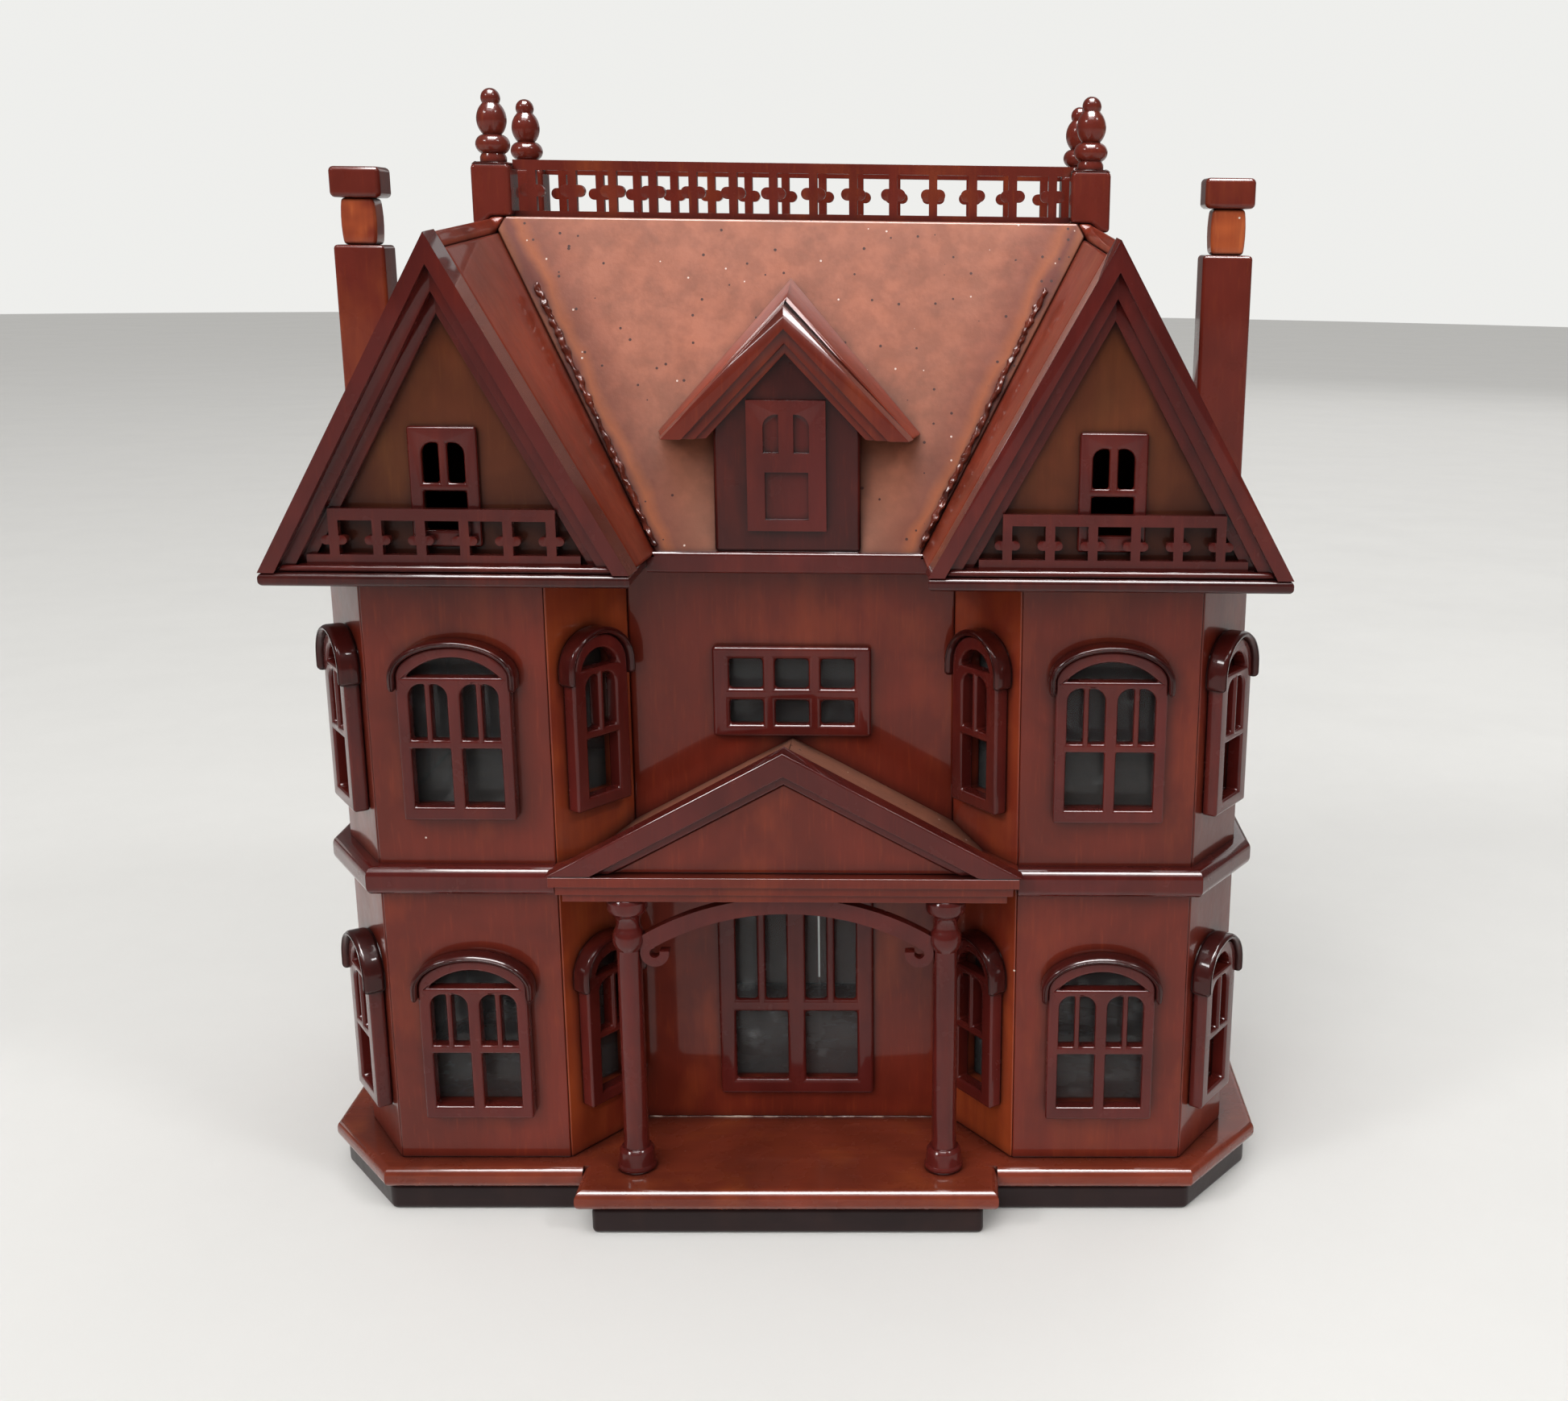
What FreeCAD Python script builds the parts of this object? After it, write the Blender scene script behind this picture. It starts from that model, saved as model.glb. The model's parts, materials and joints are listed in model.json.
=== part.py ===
import FreeCAD, Part
import math
import os

# A small varnished wooden dollhouse: two half-octagon bays of two storeys, a pillared porch
# between them, a steep flat-topped roof with two front gables and a dormer, and two hinged
# doors that close the back.  Millimetres, +X to the right, +Y to the back, +Z up.  The model
# is worked out with the bays' front faces at y = 0 and is moved to its own middle when saved.

Vec = FreeCAD.Vector

# ---- walls, seen from above (right half; the left half mirrors it) ----
wall = 1.6                    # thickness of the wall boards
half_width = 54.6             # centre line to the outside of a side wall
hall_half = 19.5              # centre line to the inner end of a bay
bay_inner = 27.1              # centre line to the inner edge of a bay's front board
bay_splay = 6.7               # how far the outer angled board runs sideways
bay_depth = 10.4              # how far a bay stands out of the hall wall
house_depth = 51.4            # bay front to the back edge of the side walls

# ---- heights ----
plinth_height = 3.4
board_height = 2.6            # base board and porch floor
wall_height = 72.5            # base board to the underside of the attic board
storey_difference = 0.9       # the lower storey is this much higher than the upper one
attic_board = 1.5             # ceiling board under the roof
floor_board = 1.6             # upstairs floor
roof_rise = 38.1              # attic board to the flat deck
gable_rise = 36.3             # attic board to the gable tip at its front

# ---- base ----
base_front = 3.0              # base board in front of the bays
base_near = 1.4               # its front corner outside the bay's front corner
base_side = 4.4               # base board outside the side walls
base_far = 0.9                # its far corner in front of the bay's back corner
base_back = 4.1               # base board behind the side walls
base_round = 1.1              # rounded lip
plinth_inset = 1.1            # plinth inside the base board's edge
porch_in = 1.8                # porch floor's side inside the bay's inner edge
porch_front = 8.3             # porch floor in front of the bays
porch_notch = 8.0             # how far the porch floor runs back into the base board
porch_plinth_inset = 1.8
porch_plinth_front = 0.9

# ---- string course between the storeys ----
belt_height = 3.5
belt_proud = 2.0
belt_round = 1.2
belt_drop = 0.9               # its underside below the upstairs floor's underside

# ---- windows ----
frame_proud = 1.9             # bay window frames in front of the wall
hood_proud = 2.6
hood_band = 0.8
hood_leg = 1.6                # straight ends of a hood below the spring of its arch
stile_gap = 0.3               # wall opening beyond the lights
light_round = 1.5             # rounded shoulder of a lancet
bottom_rail = 1.6
lower_light = 7.0
mid_rail = 1.0
lancet_height = 6.6
top_rail = 0.85
window_spring = 17.0          # frame foot to the spring of its arched head
front_frame_half = 6.45
front_head_ratio = 0.56       # arch rise over half width
front_lancet = 1.85
front_lancet_places = (-4.15, -1.65, 1.65, 4.15)
front_pane = 4.45
front_pane_place = 2.9
front_transom_half = 5.3
front_transom_rise = 2.3
side_frame_half = 4.3
side_head_ratio = 0.92
side_lancet = 1.9
side_lancet_place = 1.35
side_pane = 4.8
side_transom_half = 2.8
side_transom_rise = 2.2
lower_sill = 6.3              # frame foot above the base board
upper_sill = 6.9              # frame foot above the upstairs floor
film = 0.25                   # clear film behind the lights
film_lap = 0.8                # film beyond the wall opening

hall_frame_half = 9.55        # six-light window over the porch
hall_frame_height = 11.2
hall_frame_sill = 14.0        # above the upstairs floor
hall_frame_proud = 1.2
hall_light = 4.0
hall_light_step = 5.5
hall_lower_light = 3.0
hall_upper_light = 3.6
hall_rail = 1.5

porch_window_half = 9.75      # tall window behind the porch
porch_window_sill = 3.8
porch_window_head = 2.7       # above its frame, under the upstairs floor
porch_window_proud = 1.0
porch_window_bottom = 2.1
porch_pane = 6.5
porch_pane_place = 4.4
porch_pane_height = 9.3
porch_tall_light = 2.6
porch_tall_places = (-6.2, -2.5, 2.5, 6.2)
porch_window_top = 2.7        # frame above the tall lights
porch_mid_rail = 1.7

# ---- roof ----
eave_side = 2.3               # roof edge outside the side walls
gable_inner = 16.4            # centre line to a gable's inner foot
gable_lean = 0.15             # a gable's tip stands this much inside the middle of its feet
gable_front = 5.5             # gable rakes in front of the bays
gable_wall_front = 1.6        # gable wall face in front of the bays
roof_foot = 7.3               # front slope's foot behind the bay fronts
roof_top = 19.5               # front slope's top edge behind the bay fronts
rear_eave = 3.0               # rear slope's foot behind the side walls
panel = 1.5                   # roof boards
rake_steps = (0.0, 1.6, 3.0, 4.2)      # stepped gable rake, measured square to the slope
rake_setbacks = (0.0, 1.3, 2.8)        # each step's face behind the first
sill_height = 0.8
sill_setback = 0.6
fascia = 0.9
fascia_drop = 0.4
fascia_lift = 0.6
fascia_round = 0.4
eave_round = 0.6
gable_wall = 1.6

attic_window_out = 0.15       # middle of the attic window outside the middle of its gable
attic_frame_half = 3.8
attic_frame_height = 13.3
attic_frame_sill = 2.5        # above the attic board
attic_frame_proud = 0.8
attic_lancet = 1.8
attic_lancet_place = 1.4
attic_lancet_height = 4.4
attic_lancet_round = 1.2
attic_pane = 4.7
attic_pane_height = 4.3
attic_bottom = 1.9
attic_rail = 0.9

dormer_half = 8.45            # dormer block
dormer_front = 7.0            # its face behind the bay fronts
dormer_rake_front = 4.5
dormer_tip = 28.7             # tip above the attic board
dormer_end = 13.8             # rake ends above the attic board
dormer_reach = 14.1           # centre line to a rake end
dormer_climb = 0.223          # the dormer's ridge rises this much for each millimetre back
dormer_rakes = (0.0, 1.7, 2.9, 3.8)
dormer_setbacks = (0.0, 0.8, 1.5)
dormer_frame_half = 4.55
dormer_frame_height = 15.0
dormer_frame_sill = 3.2
dormer_frame_proud = 0.9
dormer_sunk = 0.7             # depth of the blind lights
dormer_lancet = 1.8
dormer_lancet_place = 1.75
dormer_lancet_height = 4.4
dormer_pane = 5.0
dormer_pane_height = 5.5
dormer_bottom = 1.3
dormer_rail = 2.2

post = 4.6                    # roof posts, square
post_in = 0.19                # post's middle inside the corner of the deck
post_back = 2.5               # front post's middle behind the slope's top edge
post_height = 6.2
post_toe = 1.0                # post foot lapping over the edge of the deck
post_bevel = 0.35
finial_height = 8.3
finial_ball = 1.13            # top ball's radius
finial_pinch = math.radians(30)  # how far below its middle the top ball starts
# radius and height of each step under the top ball; a third and fourth value swell the step
finial_steps = ((1.55, 0), (1.55, 0.56), (1.35, 0.95), (1.08, 3.1, 2.0, 2.07))
finial_belly = (1.74, 4.9)

rail_thick = 1.1
deck_rail_height = 6.5
deck_rail_top = 1.15
deck_rail_bottom = 0.7
deck_balusters = 14
deck_end_gap = 0.45           # last baluster to the post, in baluster spacings
deck_stem = 1.0
deck_arm = 2.9
deck_arm_height = 1.4
deck_arm_level = 0.5
balcony_out = 0.35            # middle of the railing outside the middle of its gable
balcony_height = 6.1
balcony_top = 1.3
balcony_bottom = 1.0
balcony_balusters = 6
balcony_margin = 16.75        # gable's width beyond the outer balusters, both sides together
balcony_stem = 1.05
balcony_arm = 2.8
balcony_arm_height = 1.0
balcony_arm_level = 0.42
balcony_foot_extra = 2.6      # bottom rail beyond the top rail at each end
balcony_setback = 1.9         # railing's face behind the rake's face

chimney_in = 2.0              # chimney's middle inside the side wall's face
chimney_y = 24.0
chimney_width = 6.1
chimney_depth = 5.0
chimney_top = 34.6            # shaft top above the attic board
neck_width = 3.9
neck_depth = 3.6
neck_height = 5.5
neck_swell = 0.2
cap_height = 3.6
cap_round = 0.6

# ---- porch ----
column_in = 0.8               # column's middle inside the hall wall's end
column_front = 1.9
column_foot_radius = 2.4
column_rim_radius = 2.1       # upper edge of the turned foot
column_ring_radius = 1.92
column_cap_radius = 2.4
column_foot = 2.9             # height of the turned foot
column_head = 6.7             # height of the ring and cap together
column_ring = 2.8             # height of the ring
shaft_foot_radius = 1.52
shaft_head_radius = 1.45
entablature_drop = 0.6        # entablature underside below the upstairs floor's underside
# each step's height, its end outside the bay's inner edge, its front before the bay fronts
entablature_steps = ((1.0, -1.3, 4.1), (1.1, -0.6, 4.6), (1.2, 0.1, 5.1))
arch_band = 2.0
arch_deep = 1.5
arch_spring = 4.9             # how far the arch falls from its crown to the columns
scroll_radius = 1.7
scroll_eye = 0.6
scroll_lip = 0.2              # the scroll is cut open from this far over its centre
scroll_in = 3.1               # scroll centre inside the column's middle
scroll_drop = 7.0             # scroll centre under the entablature
pediment_rise = 15.0
pediment_lap = 0.5            # pediment's foot outside the entablature's end
pediment_steps = (0.0, 2.5, 3.5)
pediment_setbacks = (0.0, 1.0)
pediment_back = 2.6           # back of the rakes in front of the bay fronts
pediment_panel = 1.0
porch_roof_drop = 2.4         # porch roof ridge under the pediment's tip
porch_panel = 1.3

# ---- back doors ----
door = 1.8                    # leaf thickness
door_gap = 0.3                # clearance all round a leaf
pin_radius = 0.5
pin_clearance = 0.05
pin_bite = 1.1                # pin in the boards above and below
pin_in_leaf = 2.4
knob_x = 3.2
knob_radius = 1.2
knob_neck = 0.6               # radius and length of the neck under the knob
knob_proud = 1.8
knob_dome = 0.15

# ---- levels and places worked out from the above ----
base_top = plinth_height + board_height
wall_top = base_top + wall_height
attic_z = wall_top + attic_board
floor_level = (wall_height - floor_board + storey_difference) / 2
floor_z = base_top + floor_level
upstairs_z = floor_z + floor_board
deck_z = attic_z + roof_rise
belt_z = floor_z - belt_drop
entablature_z = floor_z - entablature_drop
gable_outer = half_width + eave_side
bay_outer = half_width - bay_splay
gable_middle = (gable_inner + gable_outer) / 2
gable_apex = gable_middle - gable_lean
side_fall = (gable_outer - gable_apex) / gable_rise
deck_corner = gable_apex - side_fall * (roof_rise - gable_rise)
post_x = deck_corner - post_in
deck_spacing = (2 * post_x - post) / (deck_balusters - 1 + 2 * deck_end_gap)
attic_window_x = gable_middle + attic_window_out
balcony_x = gable_middle + balcony_out
balcony_spacing = (gable_outer - gable_inner - balcony_margin) / (balcony_balusters - 1)
chimney_x = half_width - chimney_in
porch_half = bay_inner - porch_in
column_x = hall_half - column_in
porch_window_height = floor_level - porch_window_sill - porch_window_head
porch_tall_height = (porch_window_height - porch_window_top - porch_window_bottom - porch_pane_height
                     - porch_mid_rail)
back_y = house_depth + base_back
centre_y = (back_y - porch_front) / 2
roof_back = house_depth + rear_eave
rear_top = roof_back - (roof_top - roof_foot)
entablature_half = bay_inner + entablature_steps[-1][1]
pediment_half = entablature_half + pediment_lap
entablature_front = entablature_steps[-1][2]
entablature_top = entablature_z + sum(step[0] for step in entablature_steps)
wall_path = [
    (0.0, bay_depth),
    (hall_half, bay_depth),
    (bay_inner, 0.0),
    (bay_outer, 0.0),
    (half_width, bay_depth),
    (half_width, house_depth),
]
HALL, INNER, FRONT, OUTER, SIDE = range(5)      # boards along wall_path
FAR = 300.0
NEAR = 0.01


# ---- shapes ----
def box(x0, x1, y0, y1, z0, z1):
    return Part.makeBox(x1 - x0, y1 - y0, z1 - z0, Vec(x0, y0, z0))


def plan(points, z0, z1):
    """A board cut to an outline seen from above."""
    corners = [Vec(x, y, z0) for x, y in points]
    return Part.Face(Part.makePolygon(corners + corners[:1])).extrude(Vec(0, 0, z1 - z0))


def elevation(points, y0, y1):
    """A board cut to an outline seen from the front."""
    corners = [Vec(x, y0, z) for x, z in points]
    return Part.Face(Part.makePolygon(corners + corners[:1])).extrude(Vec(0, y1 - y0, 0))


def mirrored(shape):
    return shape.mirror(Vec(0, 0, 0), Vec(1, 0, 0))


def group(shapes):
    return Part.makeCompound(list(shapes))


def pair(shape):
    """The same piece on the left and on the right."""
    return group([mirrored(shape), shape])


def union(shapes):
    return shapes[0].multiFuse(shapes[1:]).removeSplitter()


def less(shape, cutters):
    for cutter in cutters:
        shape = shape.cut(cutter)
    return shape


def save(node, shape):
    placed = shape.copy()
    placed.translate(Vec(0, -centre_y, 0))
    placed.exportStep(os.path.join("parts", node + ".step"))


def save_sides(name, right):
    save("right_" + name, right)
    save("left_" + name, mirrored(right))


def offset_path(points, distance):
    """A line of boards seen from above, moved outwards by distance and mitred again."""
    lines = []
    for (x0, y0), (x1, y1) in zip(points, points[1:]):
        length = math.hypot(x1 - x0, y1 - y0)
        step = ((x1 - x0) / length, (y1 - y0) / length)
        lines.append(((x0 + distance * step[1], y0 - distance * step[0]), step, length))
    moved = [lines[0][0]]
    for (start, step, length), (after, turn, reach) in zip(lines, lines[1:]):
        cross = step[0] * turn[1] - step[1] * turn[0]
        gap = (after[0] - start[0], after[1] - start[1])
        along = (gap[0] * turn[1] - gap[1] * turn[0]) / cross
        moved.append((start[0] + along * step[0], start[1] + along * step[1]))
    start, step, length = lines[-1]
    moved.append((start[0] + length * step[0], start[1] + length * step[1]))
    return moved


def both_halves(points):
    """A closed outline from its right half, listed from the middle of the front to the back."""
    return points + [(-x, y) for x, y in reversed(points)]


def behind(point, normal):
    """Everything behind a plane: a very large block whose top face is the plane."""
    block = Part.makeBox(2 * FAR, 2 * FAR, FAR, Vec(-FAR, -FAR, -FAR))
    block.Placement = FreeCAD.Placement(point, FreeCAD.Rotation(Vec(0, 0, 1), normal))
    return block


def plane_through(first, second, third, outward):
    """Unit normal of the plane through three points, on the side that outward points to."""
    normal = (second - first).cross(third - first)
    normal.normalize()
    return normal if normal.dot(outward) > 0 else normal * -1


def rounded(shape, radius, chosen):
    """Rounds the edges that chosen picks."""
    edges = [edge for edge in shape.Edges if chosen(edge)]
    return shape.makeFillet(radius, edges)


def edge_middle(edge):
    return edge.valueAt((edge.FirstParameter + edge.LastParameter) / 2)


def is_level(edge):
    return edge.BoundBox.ZLength < NEAR


# ---- window outlines, drawn in the wall's own plane with the foot at z = 0 ----
def arched(half, spring, rise, depth, foot=0.0):
    """A board with a half-elliptical head, standing out of the wall by depth."""
    ellipse = Part.Ellipse(Vec(half, 0, spring), Vec(0, 0, spring + rise), Vec(0, 0, spring))
    head = Part.ArcOfEllipse(ellipse, 0, math.pi).toShape()
    sides = Part.makePolygon([
        Vec(-half, 0, spring),
        Vec(-half, 0, foot),
        Vec(half, 0, foot),
        Vec(half, 0, spring),
    ])
    wire = Part.Wire(sides.Edges + [head])
    return Part.Face(wire).extrude(Vec(0, -depth, 0))


def pane(x, width, z, height):
    return box(x - width / 2, x + width / 2, -FAR / 20, FAR / 20, z, z + height)


def lancet(x, width, z, height, radius, side):
    """A tall light with one rounded shoulder, on the side away from its pair."""
    shoulder = min(radius, 0.95 * width)
    outer = x + side * width / 2
    inner = x - side * width / 2
    top = z + height
    turn = shoulder * (1 - math.sqrt(0.5))
    arc = Part.Arc(
        Vec(outer, 0, top - shoulder),
        Vec(outer - side * turn, 0, top - turn),
        Vec(outer - side * shoulder, 0, top),
    )
    sides = Part.makePolygon([
        Vec(outer - side * shoulder, 0, top),
        Vec(inner, 0, top),
        Vec(inner, 0, z),
        Vec(outer, 0, z),
        Vec(outer, 0, top - shoulder),
    ])
    face = Part.Face(Part.Wire(sides.Edges + [arc.toShape()]))
    face.translate(Vec(0, -FAR / 20, 0))
    return face.extrude(Vec(0, FAR / 10, 0))


def fan_light(half, rise, z):
    """The arched light at the head of a window."""
    arc = Part.Arc(Vec(-half, 0, z), Vec(0, 0, z + rise), Vec(half, 0, z))
    chord = Part.makeLine(Vec(half, 0, z), Vec(-half, 0, z))
    face = Part.Face(Part.Wire([arc.toShape(), chord]))
    face.translate(Vec(0, -FAR / 20, 0))
    return face.extrude(Vec(0, FAR / 10, 0))


def bay_lights(lancets, panes, fan):
    """The lights of a bay window: panes at the foot, lancets over them, a fan at the head."""
    level = bottom_rail
    lights = [pane(x, width, level, lower_light) for x, width in panes]
    level += lower_light + mid_rail
    for x, width, side in lancets:
        lights.append(lancet(x, width, level, lancet_height, light_round, side))
    level += lancet_height + top_rail
    lights.append(fan_light(fan[0], fan[1], level))
    return lights


def bay_window(half, head_ratio, lights, opening_half):
    """Frame, hood, wall opening and film of a bay window."""
    rise = head_ratio * half
    frame = less(arched(half, window_spring, rise, frame_proud), lights)
    hood = arched(half + hood_band, window_spring, rise + hood_band, hood_proud,
                  window_spring - hood_leg)
    hood = hood.cut(arched(half, window_spring, rise, hood_proud))
    margin = half - opening_half
    foot = bottom_rail - stile_gap
    head = rise - margin
    opening = arched(opening_half, window_spring, head, FAR / 20, foot)
    opening.translate(Vec(0, FAR / 40, 0))
    sheet = box(-opening_half - film_lap, opening_half + film_lap, wall, wall + film,
                foot - film_lap, window_spring + head + film_lap)
    return {"frame": frame, "hood": hood, "opening": opening, "film": sheet}


def front_bay_window():
    lancets = [(x, front_lancet, side) for x, side in zip(front_lancet_places, (-1, 1, -1, 1))]
    panes = [(-front_pane_place, front_pane), (front_pane_place, front_pane)]
    lights = bay_lights(lancets, panes, (front_transom_half, front_transom_rise))
    return bay_window(front_frame_half, front_head_ratio, lights, front_transom_half + stile_gap)


def side_bay_window():
    lancets = [(side * side_lancet_place, side_lancet, side) for side in (-1, 1)]
    lights = bay_lights(lancets, [(0.0, side_pane)], (side_transom_half, side_transom_rise))
    return bay_window(side_frame_half, side_head_ratio, lights, side_transom_half + stile_gap)


def on_wall(shape, board, z):
    """Moves a piece drawn in the wall's own plane to the middle of a board of wall_path."""
    (x0, y0), (x1, y1) = wall_path[board], wall_path[board + 1]
    placed = shape.copy()
    turn = math.degrees(math.atan2(y1 - y0, x1 - x0))
    placed.rotate(Vec(0, 0, 0), Vec(0, 0, 1), turn)
    placed.translate(Vec((x0 + x1) / 2, (y0 + y1) / 2, z))
    return placed


# ---- base ----
def base_outline():
    return [
        (bay_outer + base_near, -base_front),
        (half_width + base_side, bay_depth - base_far),
        (half_width + base_side, back_y),
    ]


def base():
    outline = [(0.0, -base_front)] + base_outline()
    inset = offset_path(outline, -plinth_inset)
    inset[-1] = (inset[-1][0], back_y - plinth_inset)
    save("plinth", plan(both_halves(inset), 0, plinth_height))
    board = plan(both_halves(base_outline()), plinth_height, base_top)
    board = rounded(board, base_round, is_level)
    notch = box(-porch_half, porch_half, -porch_front, porch_notch, plinth_height, base_top)
    board = less(board.cut(notch), pin_holes())
    save("base_board", board)
    front_half = porch_half - porch_plinth_inset
    front_edge = -porch_front + porch_plinth_front
    save("porch_plinth", box(-front_half, front_half, front_edge, inset[0][1], 0, plinth_height))
    step_back = -base_front + base_round
    step = box(-porch_half, porch_half, -porch_front, step_back, plinth_height, base_top)
    step = rounded(step, base_round, lambda e: is_level(e) and edge_middle(e).y < step_back - NEAR)
    inner = box(-porch_half, porch_half, step_back, porch_notch, plinth_height, base_top)
    save("porch_floor", union([step, inner]))


# ---- walls ----
def wall_board(index):
    inside = offset_path(wall_path, -wall)
    outer = wall_path[index:index + 2]
    inner = inside[index:index + 2]
    return plan([outer[0], outer[1], inner[1], inner[0]], base_top, wall_top)


def walls(windows):
    front, side = windows
    levels = (base_top + lower_sill, upstairs_z + upper_sill)
    openings = {
        INNER: [on_wall(side["opening"], INNER, z) for z in levels],
        FRONT: [on_wall(front["opening"], FRONT, z) for z in levels],
        OUTER: [on_wall(side["opening"], OUTER, z) for z in levels],
    }
    save_sides("bay_inner_wall", less(wall_board(INNER), openings[INNER]))
    save_sides("bay_front_wall", less(wall_board(FRONT), openings[FRONT]))
    save_sides("bay_outer_wall", less(wall_board(OUTER), openings[OUTER]))
    save_sides("side_wall", wall_board(SIDE))
    inside = offset_path(wall_path, -wall)
    right = [wall_path[1], inside[1]]
    hall = plan(right + [(-x, y) for x, y in reversed(right)], base_top, wall_top)
    hall = less(hall, [hall_window()["opening"], porch_window()["opening"]])
    save("hall_wall", hall)


def floors():
    inside = offset_path(wall_path, -wall)[1:]
    save("upstairs_floor", plan(both_halves(inside), floor_z, upstairs_z))
    front = bay_depth + wall
    rooms = [(base_top, floor_z), (upstairs_z, wall_top)]
    x0, x1 = hall_half - wall / 2, hall_half + wall / 2
    right = group(box(x0, x1, front, house_depth, *room) for room in rooms)
    save("partition_walls", pair(right))


def belt():
    path = [(entablature_half, 0.0)] + wall_path[3:]
    outside = offset_path(path, belt_proud)
    band = plan(outside + path[::-1], belt_z, belt_z + belt_height)

    def lip(edge):
        middle = edge_middle(edge)
        at_an_end = middle.x < entablature_half + NEAR or middle.y > house_depth - NEAR
        against_wall = distance_to(path, middle) < NEAR
        return is_level(edge) and not at_an_end and not against_wall

    save("belt_courses", pair(rounded(band, belt_round, lip)))


def distance_to(path, point):
    """Shortest distance from a point to a line of boards seen from above."""
    best = FAR
    for (x0, y0), (x1, y1) in zip(path, path[1:]):
        length = math.hypot(x1 - x0, y1 - y0)
        along = ((point.x - x0) * (x1 - x0) + (point.y - y0) * (y1 - y0)) / length
        along = max(0.0, min(length, along))
        near = (x0 + (x1 - x0) * along / length, y0 + (y1 - y0) * along / length)
        best = min(best, math.hypot(point.x - near[0], point.y - near[1]))
    return best


# ---- windows ----
def hall_window():
    """Six lights over the porch."""
    z = upstairs_z + hall_frame_sill
    foot = (hall_frame_height - hall_lower_light - hall_upper_light - hall_rail) / 2
    levels = [(foot, hall_lower_light), (foot + hall_lower_light + hall_rail, hall_upper_light)]
    half = hall_light_step + hall_light / 2 + stile_gap
    frame = box(-hall_frame_half, hall_frame_half, -hall_frame_proud, 0, 0, hall_frame_height)
    for level, height in levels:
        frame = less(frame, [pane(x * hall_light_step, hall_light, level, height)
                             for x in (-1, 0, 1)])
    top = hall_frame_height - foot + stile_gap
    foot -= stile_gap
    return in_hall_wall(frame, half, foot, top, z)


def porch_window():
    """Two wide lights with four tall ones over them, behind the porch."""
    z = base_top + porch_window_sill
    frame = box(-porch_window_half, porch_window_half, -porch_window_proud, 0,
                0, porch_window_height)
    tall_foot = porch_window_bottom + porch_pane_height + porch_mid_rail
    lights = [pane(side * porch_pane_place, porch_pane, porch_window_bottom, porch_pane_height)
              for side in (-1, 1)]
    lights += [pane(x, porch_tall_light, tall_foot, porch_tall_height)
               for x in porch_tall_places]
    half = porch_pane_place + porch_pane / 2 + stile_gap
    return in_hall_wall(less(frame, lights), half, porch_window_bottom - stile_gap,
                        porch_window_height - porch_window_top + stile_gap, z)


def in_hall_wall(frame, half, foot, top, z):
    opening = box(-half, half, -wall, 2 * wall, foot, top)
    lap = film_lap
    sheet = box(-half - lap, half + lap, wall, wall + film, foot - lap, top + lap)
    pieces = {"frame": frame, "opening": opening, "film": sheet}
    for shape in pieces.values():
        shape.translate(Vec(0, bay_depth, z))
    return pieces


def windows(front, side):
    levels = (base_top + lower_sill, upstairs_z + upper_sill)
    places = [(front, FRONT), (side, INNER), (side, OUTER)]
    frames = {FRONT: [], INNER: []}
    hoods = []
    films = []
    for window, board in places:
        for z in levels:
            right = {name: on_wall(shape, board, z) for name, shape in window.items()}
            kind = FRONT if board == FRONT else INNER
            frames[kind] += [right["frame"], mirrored(right["frame"])]
            hoods += [right["hood"], mirrored(right["hood"])]
            films += [right["film"], mirrored(right["film"])]
    hall, porch = hall_window(), porch_window()
    films += [hall["film"], porch["film"]]
    save("bay_front_window_frames", group(frames[FRONT]))
    save("bay_side_window_frames", group(frames[INNER]))
    save("window_hoods", group(hoods))
    save("window_film", group(films))
    save("hall_window_frame", hall["frame"])
    save("porch_window_frame", porch["frame"])


# ---- roof volumes: each is the space under its slopes, with the slopes moved in by inset ----
def side_slope(inset):
    foot = Vec(gable_outer, 0, attic_z)
    tip = Vec(gable_apex, 0, attic_z + gable_rise)
    normal = plane_through(foot, tip, foot + Vec(0, 1, 0), Vec(1, 0, 1))
    return behind(foot - normal * inset, normal)


def front_slope(inset):
    foot = Vec(0, roof_foot, attic_z)
    top = Vec(0, roof_top, deck_z)
    normal = plane_through(foot, top, foot + Vec(1, 0, 0), Vec(0, -1, 1))
    return behind(foot - normal * inset, normal)


def rear_slope(inset):
    foot = Vec(0, roof_back, attic_z)
    top = Vec(0, rear_top, deck_z)
    normal = plane_through(foot, top, foot + Vec(1, 0, 0), Vec(0, 1, 1))
    return behind(foot - normal * inset, normal)


def gable_slope(inset):
    """The gable's inner slope.  Its ridge climbs from the tip to the corner of the deck."""
    foot = Vec(gable_inner, -gable_front, attic_z)
    tip = Vec(gable_apex, -gable_front, attic_z + gable_rise)
    corner = Vec(deck_corner, roof_top, deck_z)
    normal = plane_through(foot, tip, corner, Vec(-1, 0, 1))
    return behind(foot - normal * inset, normal)


def main_volume():
    block = box(-FAR / 2, FAR / 2, 0, roof_back, attic_z, deck_z)
    right = side_slope(0)
    for slope in (right, mirrored(right), front_slope(0), rear_slope(0)):
        block = block.common(slope)
    return block


def gable_volume(y0, inset=0.0):
    """The right gable from y0 back to the deck, its slopes moved in by inset."""
    tall = box(0, FAR / 2, y0, roof_top, attic_z, deck_z + panel)
    under = box(0, FAR / 2, roof_top, roof_top + panel, attic_z, deck_z)
    return union([tall, under]).common(side_slope(inset)).common(gable_slope(inset))


def dormer_slopes(inset):
    tip = Vec(0, dormer_rake_front, attic_z + dormer_tip)
    end = Vec(dormer_reach, dormer_rake_front, attic_z + dormer_end)
    ridge = tip + Vec(0, 1, dormer_climb)
    normal = plane_through(tip, end, ridge, Vec(1, 0, 1))
    right = behind(tip - normal * inset, normal)
    return right, mirrored(right)


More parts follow.
